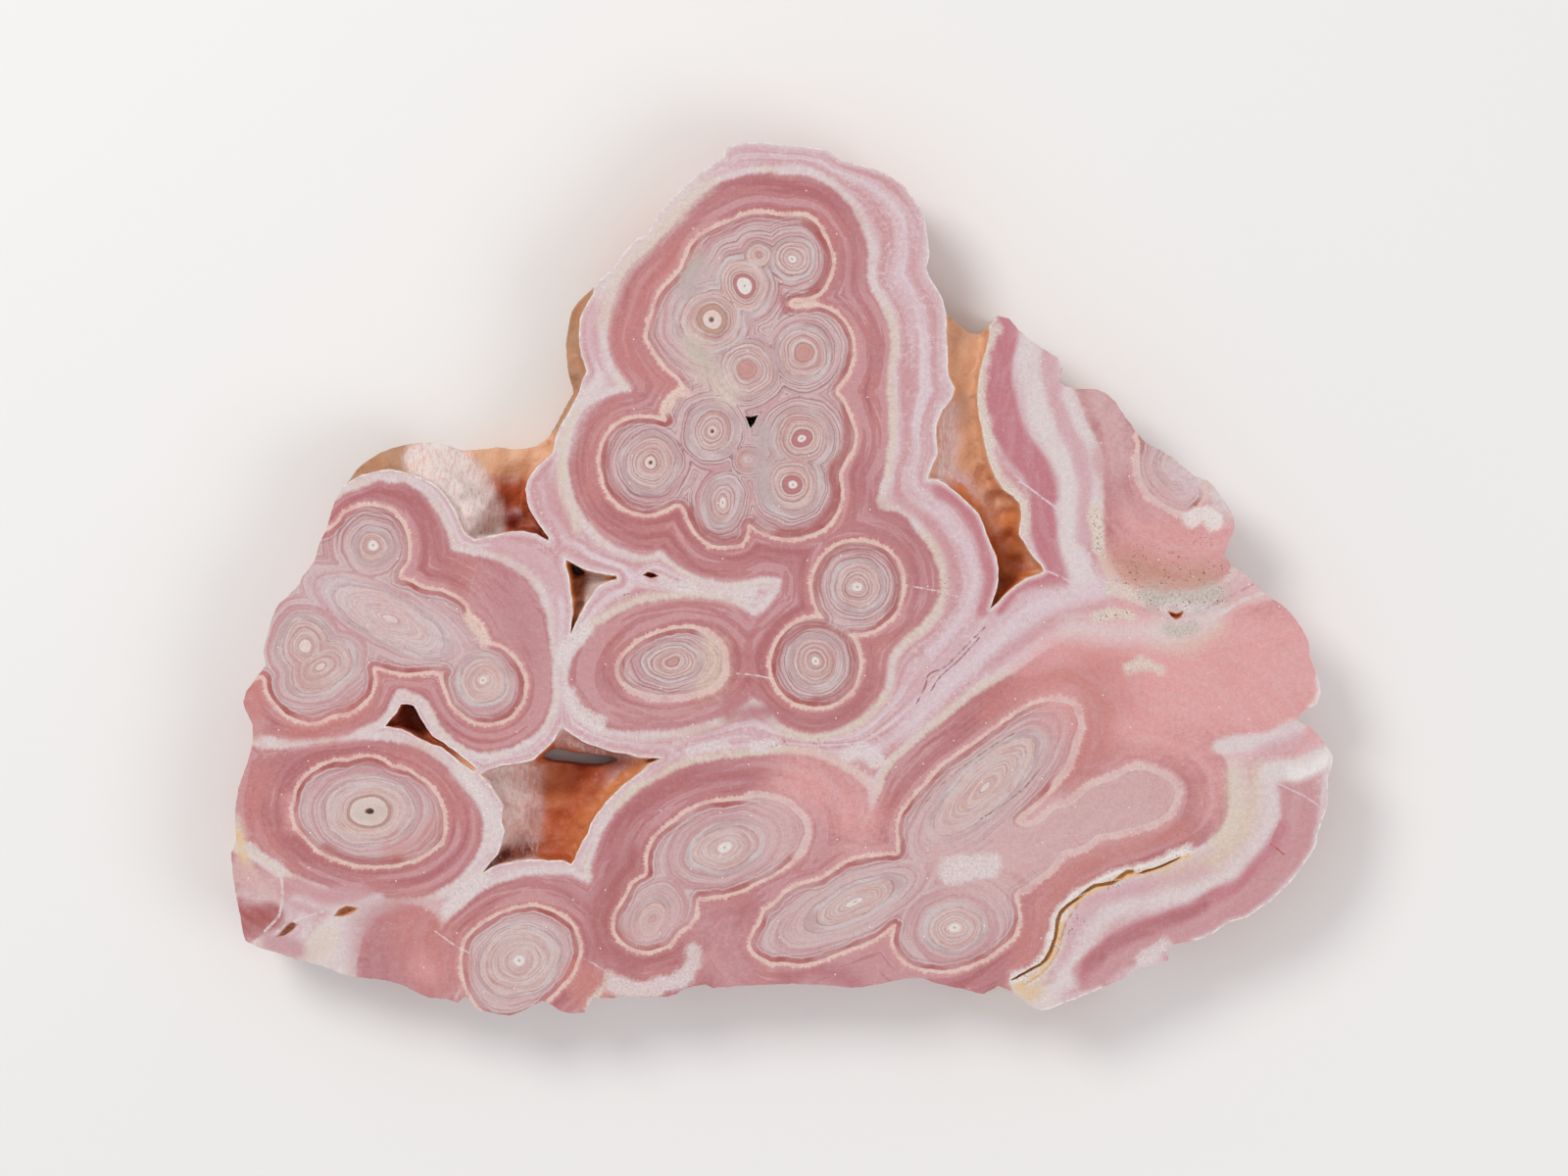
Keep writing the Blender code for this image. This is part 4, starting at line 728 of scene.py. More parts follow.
def inside(loops, points):
    """Which of the points lie inside any of the closed loops."""
    found = np.zeros(len(points), bool)
    x, y = points[:, 0], points[:, 1]
    for loop in loops:
        within = np.zeros(len(points), bool)
        near = np.flatnonzero((x >= loop[:, 0].min()) & (x <= loop[:, 0].max())
                              & (y >= loop[:, 1].min()) & (y <= loop[:, 1].max()))
        px, py = x[near], y[near]
        odd = np.zeros(len(near), bool)
        for (ax, ay), (bx, by) in zip(loop, np.roll(loop, -1, axis=0)):
            if ay == by:
                continue
            odd ^= ((ay > py) != (by > py)) & (px < ax + (py - ay) * (bx - ax) / (by - ay))
        within[near] = odd
        found |= within
    return found


def tree_of(points):
    """A search tree of flat points."""
    tree = kdtree.KDTree(len(points))
    for index, (x, y) in enumerate(points):
        tree.insert((x, y, 0), index)
    tree.balance()
    return tree


class Lines:
    """Smooth lines on the grid that can be asked for the nearest of their points."""

    def __init__(self, pieces):
        starts = np.vstack([piece[:-1] for piece in pieces])
        ends = np.vstack([piece[1:] for piece in pieces])
        self.starts, self.spans = starts, ends - starts
        self.lengths = np.maximum((self.spans**2).sum(axis=1), 1e-12)
        self.tree = tree_of(starts + self.spans / 2)

    def nearest(self, points):
        """The nearest point of the lines to each point, and how far off it is."""
        index = np.array([self.tree.find((x, y, 0))[1] for x, y in points])
        along = ((points - self.starts[index]) * self.spans[index]).sum(axis=1)
        along = np.clip(along / self.lengths[index], 0, 1)[:, None]
        feet = self.starts[index] + along * self.spans[index]
        return feet, np.linalg.norm(points - feet, axis=1)


def closed_line(loop):
    return np.vstack([loop, loop[:1]])


def smooth_shifts(points, size, seed):
    """A shift for each point on the grid that changes smoothly from place to place."""
    return np.array([noise.noise_vector(Vector((x / size, y / size, seed)))[:2]
                     for x, y in points])


def waver(points, size, height, seed):
    """Points on the grid, shifted so that a drawn line wanders as a grown one."""
    return points + height * smooth_shifts(points, size, seed)


def turned_axes(turn):
    """The axes of something turned clockwise on the grid by the turn in degrees."""
    angle = math.radians(turn)
    return np.array([[math.cos(angle), math.sin(angle)], [-math.sin(angle), math.cos(angle)]])


# The growth fields: distances at each vertex, in grid steps.

def slanted(places, lean):
    """Grid points of the places, each run back along its stalactite to the polished face."""
    depth = (THICKNESS - places[:, 2]) / UNIT
    points = to_grid(places)
    drift = smooth_shifts(points, DRIFT_SIZE, seed=4.0)
    return points + depth[:, None] * (lean * LEAN_WAY + DRIFT_SHARE * lean * drift)


def heart_fields(points, triangles):
    """The offset from each point's own heart, that heart's sizes, and the gaps to all rings."""
    wavy = waver(points, size=22, height=2.4, seed=1.0)
    edges = np.empty((len(HEARTS), len(points)))
    offsets = np.empty((len(HEARTS), len(points), 2))
    clears = np.array([heart[5] for heart in HEARTS])
    discs = np.array([math.sqrt(heart[2] * heart[3]) for heart in HEARTS])
    for k, (x, y, long, short, turn, _, _) in enumerate(HEARTS):
        axes = turned_axes(turn)
        along, across = (wavy - (x, y)) @ axes[0], (wavy - (x, y)) @ axes[1]
        offsets[k] = np.column_stack([along / long, across / short]) * discs[k]
        edges[k] = np.linalg.norm(offsets[k], axis=1) - discs[k]
    own = edges.argmin(axis=0)
    alone = np.ones(len(points))
    mixed = (own[triangles] != own[triangles][:, :1]).any(axis=1)
    alone[triangles[mixed].ravel()] = 0.0
    everyone = np.arange(len(points))
    fields = {
        "heart_offset": np.column_stack([offsets[own, everyone], np.zeros(len(points))]),
        "heart_alone": alone,
        "heart_disc": discs[own],
        "ring_edge": edges.min(axis=0),
        "clear_edge": (edges - clears[:, None]).min(axis=0),
    }
    for kind in CORES:
        radii = np.array([heart[6].get(kind, NO_CORE) for heart in HEARTS], float)
        fields["core_" + kind] = radii[own]
    return fields


def gap_to(points, path, limit):
    """Distance of each point from a line, or the limit where that is less."""
    low, high = path.min(axis=0) - limit, path.max(axis=0) + limit
    near = np.flatnonzero(((points > low) & (points < high)).all(axis=1))
    spots = points[near]
    best = np.full(len(near), float(limit))
    for start, end in zip(path[:-1], path[1:]):
        span = end - start
        along = np.clip((spots - start) @ span / max(span @ span, 1e-9), 0, 1)[:, None]
        best = np.minimum(best, np.linalg.norm(spots - start - along * span, axis=1))
    gap = np.full(len(points), float(limit))
    gap[near] = best
    return gap


def cover(points, line, width, soft):
    """How far a stroke along the line covers each point, from 0 to 1."""
    gap = gap_to(points, rounded(line, False, STROKE_STEP), width / 2 + soft + 1)
    t = np.clip(0.5 - (gap - width / 2) / (2 * soft), 0, 1)
    return t * t * (3 - 2 * t)


def tint_field(points, strokes, colours):
    """Soft strokes of colour laid over each other: red, green, blue and strength."""
    wavy = waver(points, size=24, height=3.0, seed=3.0)
    mixed = np.zeros((len(points), 4))
    for name, width, soft, strength, line in strokes:
        part = cover(wavy, line, width, soft) * strength
        total = mixed[:, 3] * (1 - part) + part
        share = (part / np.maximum(total, 1e-6))[:, None]
        mixed[:, :3] = mixed[:, :3] * (1 - share) + np.array(getattr(colours, name)) * share
        mixed[:, 3] = total
    return mixed


def mark_field(points, marks, colours, step):
    """Colour of the nearest mark, and how far inside it a point lies in grid steps."""
    weight = np.full(len(points), 1e-9)
    mixed = np.zeros((len(points), 4))
    depth = np.full(len(points), -float(MARK_LIMIT))
    for name, width, line in marks:
        gap = gap_to(points, rounded(line, False, step), width / 2 + MARK_LIMIT)
        share = 1 / (np.maximum(gap - width / 2, 0) + 1) ** 4
        mixed[:, :3] += np.array(getattr(colours, name)) * share[:, None]
        weight += share
        depth = np.maximum(depth, width / 2 - gap)
    mixed[:, :3] /= weight[:, None]
    mixed[:, 3] = depth
    return mixed


def covered(points, strokes):
    """How far any of the strokes covers each point, from 0 to 1."""
    most = np.zeros(len(points))
    for width, soft, line in strokes:
        most = np.maximum(most, cover(points, line, width, soft))
    return most


def front_field(fronts, step, points):
    """The nearest point of the fronts to each point, and its distance, negative inside them."""
    loops = [rounded(loop, True, step) for loop in fronts.values()]
    feet, gap = Lines(outer_parts(loops)).nearest(points)
    feet = np.column_stack([feet, np.zeros(len(points))])
    return feet, np.where(inside(loops, points), -gap, gap)


def growth_fields(places, triangles, face_edges, lean, colours):
    """Every field that the materials read, by name."""
    upright = to_grid(places)
    points = slanted(places, lean)
    first_feet, first = front_field(FIRST_FRONTS, FIRST_STEP, points)
    second_feet, second = front_field(SECOND_FRONTS, SECOND_STEP, points)
    rims = Lines(natural_rims(face_edges))
    rim = rims.nearest(points)[1]
    seams = [rounded(line, False, SECOND_STEP) for line in SEAMS]
    meeting = np.minimum(rim, Lines(seams).nearest(points)[1])
    outward = np.maximum(second, 0)
    past_first = np.maximum(first, 0)
    fields = {
        "first_front": first,
        "second_front": second,
        "rose_part": past_first / np.maximum(past_first - np.minimum(second, 0), 1e-3),
        "outer_part": outward / np.maximum(outward + meeting, 1e-3),
        "rim_gap": np.minimum(rim, RIM_LIMIT),
        "first_foot": first_feet,
        "second_foot": second_feet,
        "depth": (THICKNESS - places[:, 2]) * 1000,
        "tint": tint_field(points, TINTS, colours),
        "patch": mark_field(points, PATCHES, colours, SECOND_STEP),
        "thin_line": mark_field(points, THIN_LINES, colours, LINE_STEP),
        "pitted": covered(points, PITTED),
        "fibrous": covered(upright, FIBROUS),
        "toothed": covered(points, TOOTHED),
        "creamy": covered(points, CREAMY),
        "faint": covered(points, FAINT),
        "break_gap": rims.nearest(upright)[1],
        "skin_tint": tint_field(upright, SKIN_TINTS, colours),
    }
    return fields | heart_fields(points, triangles)


def outer_parts(loops):
    """The stretches of closed loops that lie inside no other of them."""
    pieces = []
    for k, loop in enumerate(loops):
        others = [other for j, other in enumerate(loops) if j != k]
        path = closed_line(loop)
        hidden = inside(others, path)
        for a in range(len(path) - 1):
            if not (hidden[a] and hidden[a + 1]):
                pieces.append(path[a:a + 2])
    return pieces


def natural_rims(face_edges):
    """The stretches of the face's edge that grew, as short pieces on the grid."""
    pieces = []
    for a, b in face_edges:
        x, y = (a + b) / 2
        if not any(left <= x <= right and top <= y <= bottom
                   for left, top, right, bottom in BROKEN_EDGES):
            pieces.append(np.array([a, b]))
    return pieces


# The stone's mesh.

def joined(places, triangles):
    """The same triangles with equal places joined."""
    _, first, index = np.unique(np.round(places, 8), axis=0, return_index=True,
                                return_inverse=True)
    return places[first], index.reshape(-1)[triangles]


def frame_shell():
    """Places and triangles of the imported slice."""
    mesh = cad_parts[NODE].data
    mesh.calc_loop_triangles()
    places = np.empty(len(mesh.vertices) * 3)
    mesh.vertices.foreach_get("co", places)
    triangles = np.empty(len(mesh.loop_triangles) * 3, int)
    mesh.loop_triangles.foreach_get("vertices", triangles)
    return joined(np.round(places.reshape(-1, 3), 7), triangles.reshape(-1, 3))


def split_in_nine(places, triangles):
    """Each triangle as nine smaller ones."""
    a, b, c = (places[triangles[:, k]] for k in range(3))
    steps = [(i, j) for i in range(4) for j in range(4 - i)]
    spots = np.stack([(a * (3 - i - j) + b * i + c * j) / 3 for i, j in steps], axis=1)
    at = {step: k for k, step in enumerate(steps)}
    small = []
    for i, j in steps:
        if i + j < 3:
            small.append((at[i, j], at[i + 1, j], at[i, j + 1]))
        if i + j < 2:
            small.append((at[i + 1, j], at[i + 1, j + 1], at[i, j + 1]))
    corners = np.arange(len(triangles))[:, None, None] * len(steps) + np.array(small)[None]
    return joined(spots.reshape(-1, 3), corners.reshape(-1, 3))


def sides_of(triangles):
    """The two ends of each side of each triangle."""
    return np.concatenate([triangles[:, [0, 1]], triangles[:, [1, 2]], triangles[:, [2, 0]]])


def open_edges_of(triangles):
    """The edges that only one triangle has, in its direction."""
    ends = sides_of(triangles)
    keys = np.sort(ends, axis=1)
    _, index, counts = np.unique(keys, axis=0, return_inverse=True, return_counts=True)
    return ends[counts[index.reshape(-1)] == 1]


def smoothed(places, triangles, fixed, rounds):
    """The places drawn towards the middle of their neighbours, except the fixed ones."""
    ends = np.unique(np.sort(sides_of(triangles), axis=1), axis=0)
    counts = np.bincount(ends.ravel(), minlength=len(places))[:, None]
    for _ in range(rounds):
        total = np.zeros_like(places)
        np.add.at(total, ends[:, 0], places[ends[:, 1]])
        np.add.at(total, ends[:, 1], places[ends[:, 0]])
        middle = total / np.maximum(counts, 1)
        places = np.where(fixed[:, None], places, 0.5 * places + 0.5 * middle)
    return places


def vertex_normals(places, triangles):
    a, b, c = (places[triangles[:, k]] for k in range(3))
    face = np.cross(b - a, c - a)
    total = np.zeros_like(places)
    for k in range(3):
        np.add.at(total, triangles[:, k], face)
    return total / np.maximum(np.linalg.norm(total, axis=1), 1e-20)[:, None]


def frayed(places, moving, fray):
    """The edge of the polished face, which wanders a little as crystals broke along it."""
    shifted = places.copy()
    for index in np.flatnonzero(moving):
        x, y, _ = places[index]
        shift = noise.noise_vector(Vector((x, y, 0.0)) / FRAY_SIZE)
        shifted[index, :2] += fray * np.array(shift[:2])
    return shifted


def grained(places, triangles, grain, size):
    """The natural skin with its small rounded grains."""
    normals = vertex_normals(places, triangles)
    depth = np.minimum(THICKNESS - places[:, 2], places[:, 2])
    lift = []
    for (x, y, z), down in zip(places, depth):
        near = noise.voronoi(Vector((x, y, z)) / size)[0][0]
        broad = noise.noise(Vector((x, y, z)) / (4 * size))
        lift.append((0.45 - near + 0.8 * broad) * grain * min(1.0, down / GRAIN_RISE))
    return places + normals * np.array(lift)[:, None]


def lattice(low, high, step, seed):
    """Points of a slightly uneven triangular lattice between two corners."""
    rng = np.random.default_rng(seed)
    rows = []
    for j, y in enumerate(np.arange(low[1], high[1], step * math.sqrt(3) / 2)):
        x = np.arange(low[0] + (j % 2) * step / 2, high[0], step)
        rows.append(np.column_stack([x, np.full(len(x), y)]))
    points = np.vstack(rows)
    return points + rng.uniform(-LATTICE_SHIFT, LATTICE_SHIFT, points.shape) * step


def close_points():
    """Close-set points round the hearts and along the thin lines and the seams."""
    points = []
    for x, y, long, short, turn, _, _ in HEARTS:
        shape = np.array([long, short]) / math.sqrt(long * short)
        axes = turned_axes(turn)
        points.append([[x, y]])
        for radius, count in CORE_RINGS:
            t = np.arange(count) * 2 * math.pi / count
            ring = np.column_stack([np.cos(t), np.sin(t)]) * radius * shape
            points.append(ring @ axes + (x, y))
    rows = [(line, width) for _, width, line in THIN_LINES] + [(line, 0) for line in SEAMS]
    for line, width in rows:
        path = rounded(line, False, LINE_STEP)
        ahead = np.gradient(path, axis=0)
        side = np.column_stack([-ahead[:, 1], ahead[:, 0]])
        side /= np.linalg.norm(side, axis=1)[:, None]
        for shift in (-width / 2 - LINE_MARGIN, 0.0, width / 2 + LINE_MARGIN):
            points.append(path + shift * side)
    points = np.vstack(points)
    _, apart = np.unique(np.round(points * 2), axis=0, return_index=True)
    return to_metres(points[np.sort(apart)])


def sheet(places, edges, step, extra, seed):
    """Triangles that fill the flat area between closed rows of edges, and its new points."""
    used = np.unique(edges)
    flat = places[used][:, :2]
    number = {int(old): new for new, old in enumerate(used)}
    border_edges = [(number[int(a)], number[int(b)]) for a, b in edges]
    loops = loops_of(edges)
    outlines = [places[loop][:, :2] for loop in loops]
    border = Lines([closed_line(outline) for outline in outlines])
    spots = lattice(flat.min(axis=0), flat.max(axis=0), step, seed)
    if len(extra):
        tree = tree_of(extra)
        spare = np.array([tree.find((x, y, 0))[2] for x, y in spots])
        spots = np.vstack([extra, spots[spare > ROOM_BETWEEN * step]])
    spots = spots[odd_inside(outlines, spots)]
    spots = spots[border.nearest(spots)[1] > ROOM_AT_EDGE * min(step, EDGE_STEP)]
    everything = np.vstack([flat, spots])
    made = delaunay_2d_cdt([Vector(point) * 1000 for point in everything], border_edges, [], 0,
                           1e-6)
    if len(made[0]) != len(everything):
        raise RuntimeError("two edges of the face cross")
    source = np.array([origins[0] for origins in made[3]])
    corners = source[np.array(made[2])]
    corners = corners[odd_inside(outlines, everything[corners].mean(axis=1))]
    return used, spots, corners


def loops_of(edges):
    """Closed rows of vertices from edges that run head to tail."""
    after = {}
    for a, b in edges.tolist():
        after.setdefault(a, []).append(b)
    loops = []
    for start in list(after):
        while after[start]:
            loop, here = [start], after[start].pop()
            while here != start:
                loop.append(here)
                here = after[here].pop()
            loops.append(loop)
    return loops


def odd_inside(outlines, points):
    """Which points an odd number of the outlines go round."""
    found = np.zeros(len(points), bool)
    for outline in outlines:
        found ^= inside([outline], points)
    return found


def turned(places, triangles, up):
    """The triangles, all facing up or all facing down."""
    a, b, c = (places[triangles[:, k]][:, :2] for k in range(3))
    area = (b - a)[:, 0] * (c - a)[:, 1] - (b - a)[:, 1] * (c - a)[:, 0]
    wrong = (area > 0) != up
    triangles = triangles.copy()
    triangles[wrong] = triangles[wrong][:, ::-1]
    return triangles


def stone_shape(sizes):
    """Places, triangles, the finish of each (0 polished, 1 sawn, 2 natural skin), face edges."""
    places, triangles = frame_shell()
    high = places[triangles][:, :, 2]
    top, bottom = THICKNESS - FLAT_SLACK, FLAT_SLACK
    flat = (high > top).all(axis=1) | (high < bottom).all(axis=1)
    places, skin = split_in_nine(places, triangles[~flat])
    on_top, on_bottom = places[:, 2] > top, places[:, 2] < bottom
    places = frayed(places, on_top, sizes.fray)
    places = smoothed(places, skin, on_top | on_bottom, 3)
    places = grained(places, skin, sizes.skin_grain, sizes.skin_grain_size)
    open_edges = open_edges_of(skin)
    upper = open_edges[on_top[open_edges].all(axis=1)]
    lower = open_edges[on_bottom[open_edges].all(axis=1)]
    parts, finish = [skin], [np.full(len(skin), 2)]
    for edges, level, step, extra, kind in (
            (upper, THICKNESS, sizes.face_step, close_points(), 0),
            (lower, 0.0, sizes.back_step, np.empty((0, 2)), 1)):
        used, spots, corners = sheet(places, edges, step, extra, kind + 5)
        index = np.concatenate([used, len(places) + np.arange(len(spots))])
        places = np.vstack([places, np.column_stack([spots, np.full(len(spots), level)])])
        parts.append(turned(places, index[corners], kind == 0))
        finish.append(np.full(len(corners), kind))
    return places, np.vstack(parts), np.concatenate(finish), upper


def turns_round(places, centre):
    """Which way the places lie from the centre, from 0 to 1 round it."""
    return np.arctan2(places[..., 1] - centre[1], places[..., 0] - centre[0]) / (2 * math.pi) + 0.5


def bake_map(mesh, places, triangles, finish):
    """A map with the face over most of the square, the back above it and the rim in rows."""
    low, high = places.min(axis=0)[:2], places.max(axis=0)[:2]
    span = high[0] - low[0]
    corner = places[triangles]
    plan = (corner[:, :, :2] - low) / span
    coords = plan * MAP_SPAN + MAP_EDGE
    height = (high[1] - low[1]) / span
    base = height * MAP_SPAN + GAP_ABOVE
    scale = (MAP_TOP - base) / height
    back = finish == 1
    coords[back] = plan[back] * scale + (MAP_EDGE, base)
    normal = np.cross(corner[:, 1] - corner[:, 0], corner[:, 2] - corner[:, 0])
    normal /= np.maximum(np.linalg.norm(normal, axis=1), 1e-20)[:, None]
    side = (finish == 2) & (normal[:, 2] < STEEP)
    left = scale + GAP_BESIDE
    row_width = MAP_SPAN - left
    row_height = (MAP_TOP - base) / SIDE_ROWS
    centre = (low + high) / 2
    turn = turns_round(corner[side].mean(axis=1), centre)[:, None]
    row = np.minimum((turn * SIDE_ROWS).astype(int), SIDE_ROWS - 1)
    around = turns_round(corner[side], centre)
    around += np.round(turn - around)
    level = row + ROW_EDGE + ROW_SPAN * corner[side][:, :, 2] / THICKNESS
    coords[side, :, 0] = left + (around * SIDE_ROWS - row) * row_width
    coords[side, :, 1] = base + level * row_height
    layer = mesh.uv_layers.new(name="OFBake")
    layer.data.foreach_set("uv", np.clip(coords, 0.0, 1.0).reshape(-1))


def store_fields(mesh, fields):
    for name, values in fields.items():
        kinds = {1: ("FLOAT", "value"), 3: ("FLOAT_VECTOR", "vector"), 4: ("FLOAT_COLOR", "color")}
        kind, key = kinds[1 if values.ndim == 1 else values.shape[1]]
        layer = mesh.attributes.new(name, kind, "POINT")
        layer.data.foreach_set(key, np.ascontiguousarray(values, np.float32).ravel())


# Materials.

class Nodes:
    """Short ways to write the nodes of one tree."""

    def __init__(self, tree):
        self.tree = tree

    def add(self, kind, inputs=(), **settings):
        node = self.tree.nodes.new(kind)
        for key, value in settings.items():
            setattr(node, key, value)
        for key, value in dict(inputs).items():
            self.give(node.inputs[key], value)
        return node

    def give(self, socket, value):
        if isinstance(value, bpy.types.NodeSocket):
            self.tree.links.new(value, socket)
        elif socket.type == "RGBA":
            socket.default_value = (*value[:3], 1.0)
        else:
            socket.default_value = value

    def sum(self, operation, a, b=0.0, c=0.0, clamp=False):
        node = self.add("ShaderNodeMath", operation=operation, use_clamp=clamp)
        for socket, value in zip(node.inputs, (a, b, c)):
            self.give(socket, value)
        return node.outputs[0]

    def times(self, a, b):
        return self.sum("MULTIPLY", a, b)

    def plus(self, base, part, times):
        """The base with a part added so many times."""
        return self.sum("MULTIPLY_ADD", part, times, base)

    def field(self, name):
        return self.add("ShaderNodeAttribute", attribute_name=name).outputs["Fac"]

    def place(self, name):
        return self.add("ShaderNodeAttribute", attribute_name=name).outputs["Vector"]

    def paint(self, name):
        """The colour of a painted field and its amount."""
        outputs = self.add("ShaderNodeAttribute", attribute_name=name).outputs
        return outputs["Color"], outputs["Alpha"]

    def grid_place(self):
        """Where a point lies, in grid steps."""
        return self.scaled(self.add("ShaderNodeTexCoord").outputs["Object"], 1 / UNIT)

    def scaled(self, vector, scale):
        node = self.add("ShaderNodeVectorMath", operation="SCALE")
        self.give(node.inputs[0], vector)
        node.inputs["Scale"].default_value = scale
        return node.outputs[0]

    def grain(self, vector, scale, detail=2.0, roughness=0.5):
        """Noise from about 0 to 1."""
        node = self.add("ShaderNodeTexNoise", {"Vector": vector, "Scale": scale, "Detail": detail,
                                               "Roughness": roughness})
        return node.outputs["Fac"]

    def banded(self, value, where, scale, spread, detail=2.0):
        """Noise that runs along the value, and changes only slowly from place to place."""
        axes = self.add("ShaderNodeSeparateXYZ", {0: self.scaled(where, spread)})
        vector = self.add("ShaderNodeCombineXYZ", {0: axes.outputs[0], 1: axes.outputs[1],
                                                   2: self.times(value, scale)})
        return self.grain(vector.outputs[0], 1.0, detail)

    def threads(self, value, where, period):
        """Thin lines along the value, unevenly spaced and of uneven strength."""
        shift = self.plus(value, self.banded(value, where, 0.10, 1 / 150), 2.4 * period)
        fold = self.sum("PINGPONG", shift, period / 2)
        thin = self.ease(fold, 0.95, 0.0)
        strength = self.banded(value, where, 1 / period, 1 / 45, 1)
        return self.times(thin, self.ease(strength, 0.28, 0.60))

    def specks(self, where, scale, radius, above):
        """Small dots, one in some of the cells."""
        cells = self.add("ShaderNodeTexVoronoi", {"Vector": where, "Scale": scale},
                         voronoi_dimensions="2D")
        chance = self.add("ShaderNodeSeparateColor", {0: cells.outputs["Color"]}).outputs[0]
        dots = self.ease(cells.outputs["Distance"], radius * 1.3, radius * 0.7)
        return self.times(dots, self.sum("GREATER_THAN", chance, above))

    def ease(self, value, low, high):
        """0 at low and 1 at high, with soft ends. High may be the smaller."""
        node = self.add("ShaderNodeMapRange", interpolation_type="SMOOTHSTEP")
        for key, given in zip(("Value", "From Min", "From Max"), (value, low, high)):
            self.give(node.inputs[key], given)
        return node.outputs[0]

    def window(self, value, low, high, soft):
        """1 between low and high, with soft ends."""
        rise = self.ease(value, low - soft, low + soft)
        fall = self.ease(value, high + soft, high - soft)
        return self.times(rise, fall)

    def mix(self, factor, a, b, blend="MIX"):
        node = self.add("ShaderNodeMix", data_type="RGBA", blend_type=blend)
        self.give(node.inputs[0], factor)
        self.give(node.inputs[6], a)
        self.give(node.inputs[7], b)
        return node.outputs[2]

    def over(self, under, colour, cover, strength):
        """A colour laid over another as far as it covers it, never stronger than the strength."""
        return self.mix(self.times(cover, strength), under, colour)

    def ramp(self, value, span, stops):
        """Colours at distances along a span."""
        node = self.add("ShaderNodeValToRGB", {"Fac": self.sum("DIVIDE", value, span)})
        band = node.color_ramp
        while len(band.elements) > 1:
            band.elements.remove(band.elements[-1])
        band.elements[0].position = stops[0][0] / span
        band.elements[0].color = (*stops[0][1], 1.0)
        for at, colour in stops[1:]:
            element = band.elements.new(at / span)
            element.color = (*colour, 1.0)
        return node.outputs["Color"]


def blend(a, b, part):
    """A colour between two colours."""
    return tuple(x * (1 - part) + y * part for x, y in zip(a, b))


def bands_group(tone):
    """The stone's bands as one group: their colour, and how porous the stone is there."""
    group = bpy.data.node_groups.new("growth_bands", "ShaderNodeTree")
    group.interface.new_socket("Colour", in_out="OUTPUT", socket_type="NodeSocketColor")
    group.interface.new_socket("Porous", in_out="OUTPUT", socket_type="NodeSocketFloat")
    nodes = Nodes(group)
    where = nodes.grid_place()

    wide = nodes.sum("SUBTRACT", nodes.grain(where, 1 / 11), 0.5)
    crinkle = nodes.sum("SUBTRACT", nodes.grain(where, 1 / 4.5, 4, 0.75), 0.5)
    first = nodes.plus(nodes.field("first_front"), wide, 3.0)
    second = nodes.plus(nodes.field("second_front"), wide, 5.0)
    deep = nodes.times(first, -1.0)

    inner = inner_rings(nodes, tone, deep, wide, crinkle, where)
    rose = rose_zone(nodes, tone, first, second, where)
    outer = outer_zone(nodes, tone, second, wide, where)
    fray = nodes.grain(nodes.place("second_foot"), 0.28, 4, 0.8)
    frayed_second = nodes.plus(nodes.plus(second, crinkle, 3.0), fray, 6.0)
    colour = nodes.mix(nodes.ease(frayed_second, 0.5, 5.5), rose, outer)
    colour = nodes.mix(nodes.ease(first, 0.4, -0.4), colour, inner)

    tint, amount = nodes.paint("tint")
    streaks = nodes.banded(nodes.field("first_front"), where, 0.10, 1 / 50, 3)
    tinted = nodes.over(tint, tone["lilac_white"], nodes.ease(streaks, 0.42, 0.66), 0.12)
    loose = nodes.times(amount, nodes.sum("SUBTRACT", 1.0, amount))
    ragged = nodes.sum("SUBTRACT", nodes.grain(where, 1 / 10, 4, 0.7), 0.5)
    amount = nodes.sum("MULTIPLY_ADD", nodes.times(loose, 4.0), ragged, amount, True)
    colour = nodes.mix(amount, colour, tinted)

    colour, line = toothed_line(nodes, tone, colour, first, deep, where)

    # Along the grown rims: a soft chalk band and a thin broken white line, partly white crumbly
    # crystal and partly a painted highlight where light catches the frayed edge.
    rim = nodes.plus(nodes.field("rim_gap"), crinkle, 3.0)
    broken = nodes.ease(nodes.grain(where, 1 / 10, 3), 0.35, 0.6)
    colour = nodes.over(colour, tone["chalk"], nodes.ease(rim, 6.0, 1.0), 0.5)
    colour = nodes.over(colour, tone["white"], nodes.ease(rim, 2.0, 0.6), broken)

    patch, patch_depth = nodes.paint("patch")
    crumb = nodes.plus(-6.0, nodes.grain(where, 1 / 3, 5, 0.8), 12.0)
    crumb = nodes.plus(crumb, nodes.grain(where, 1 / 16, 3), 16.0)
    patch_in = nodes.ease(nodes.sum("ADD", patch_depth, crumb), 3.0, 10.5)
    grit = nodes.ease(nodes.grain(where, 1 / 2.5, 4, 0.75), 0.36, 0.66)
    flecked = nodes.over(patch, tone["white"], grit, 0.4)
    flecked = nodes.over(flecked, tone["grey_lilac"], nodes.ease(grit, 0.5, 0.0), 0.3)
    colour = nodes.over(colour, flecked, patch_in, 0.82)
    thin, thin_depth = nodes.paint("thin_line")
    thin_in = nodes.ease(nodes.plus(thin_depth, crinkle, 3.0), -0.7, 0.4)
    thin_in = nodes.times(thin_in, nodes.ease(nodes.grain(where, 1 / 9, 3), 0.30, 0.56))
    colour = nodes.over(colour, thin, thin_in, 0.85)

    colour = surface_grain(nodes, tone, colour, where)
    out = nodes.add("NodeGroupOutput")
    nodes.give(out.inputs["Colour"], colour)
    nodes.give(out.inputs["Porous"], nodes.sum("MAXIMUM", line, patch_in))
    return group


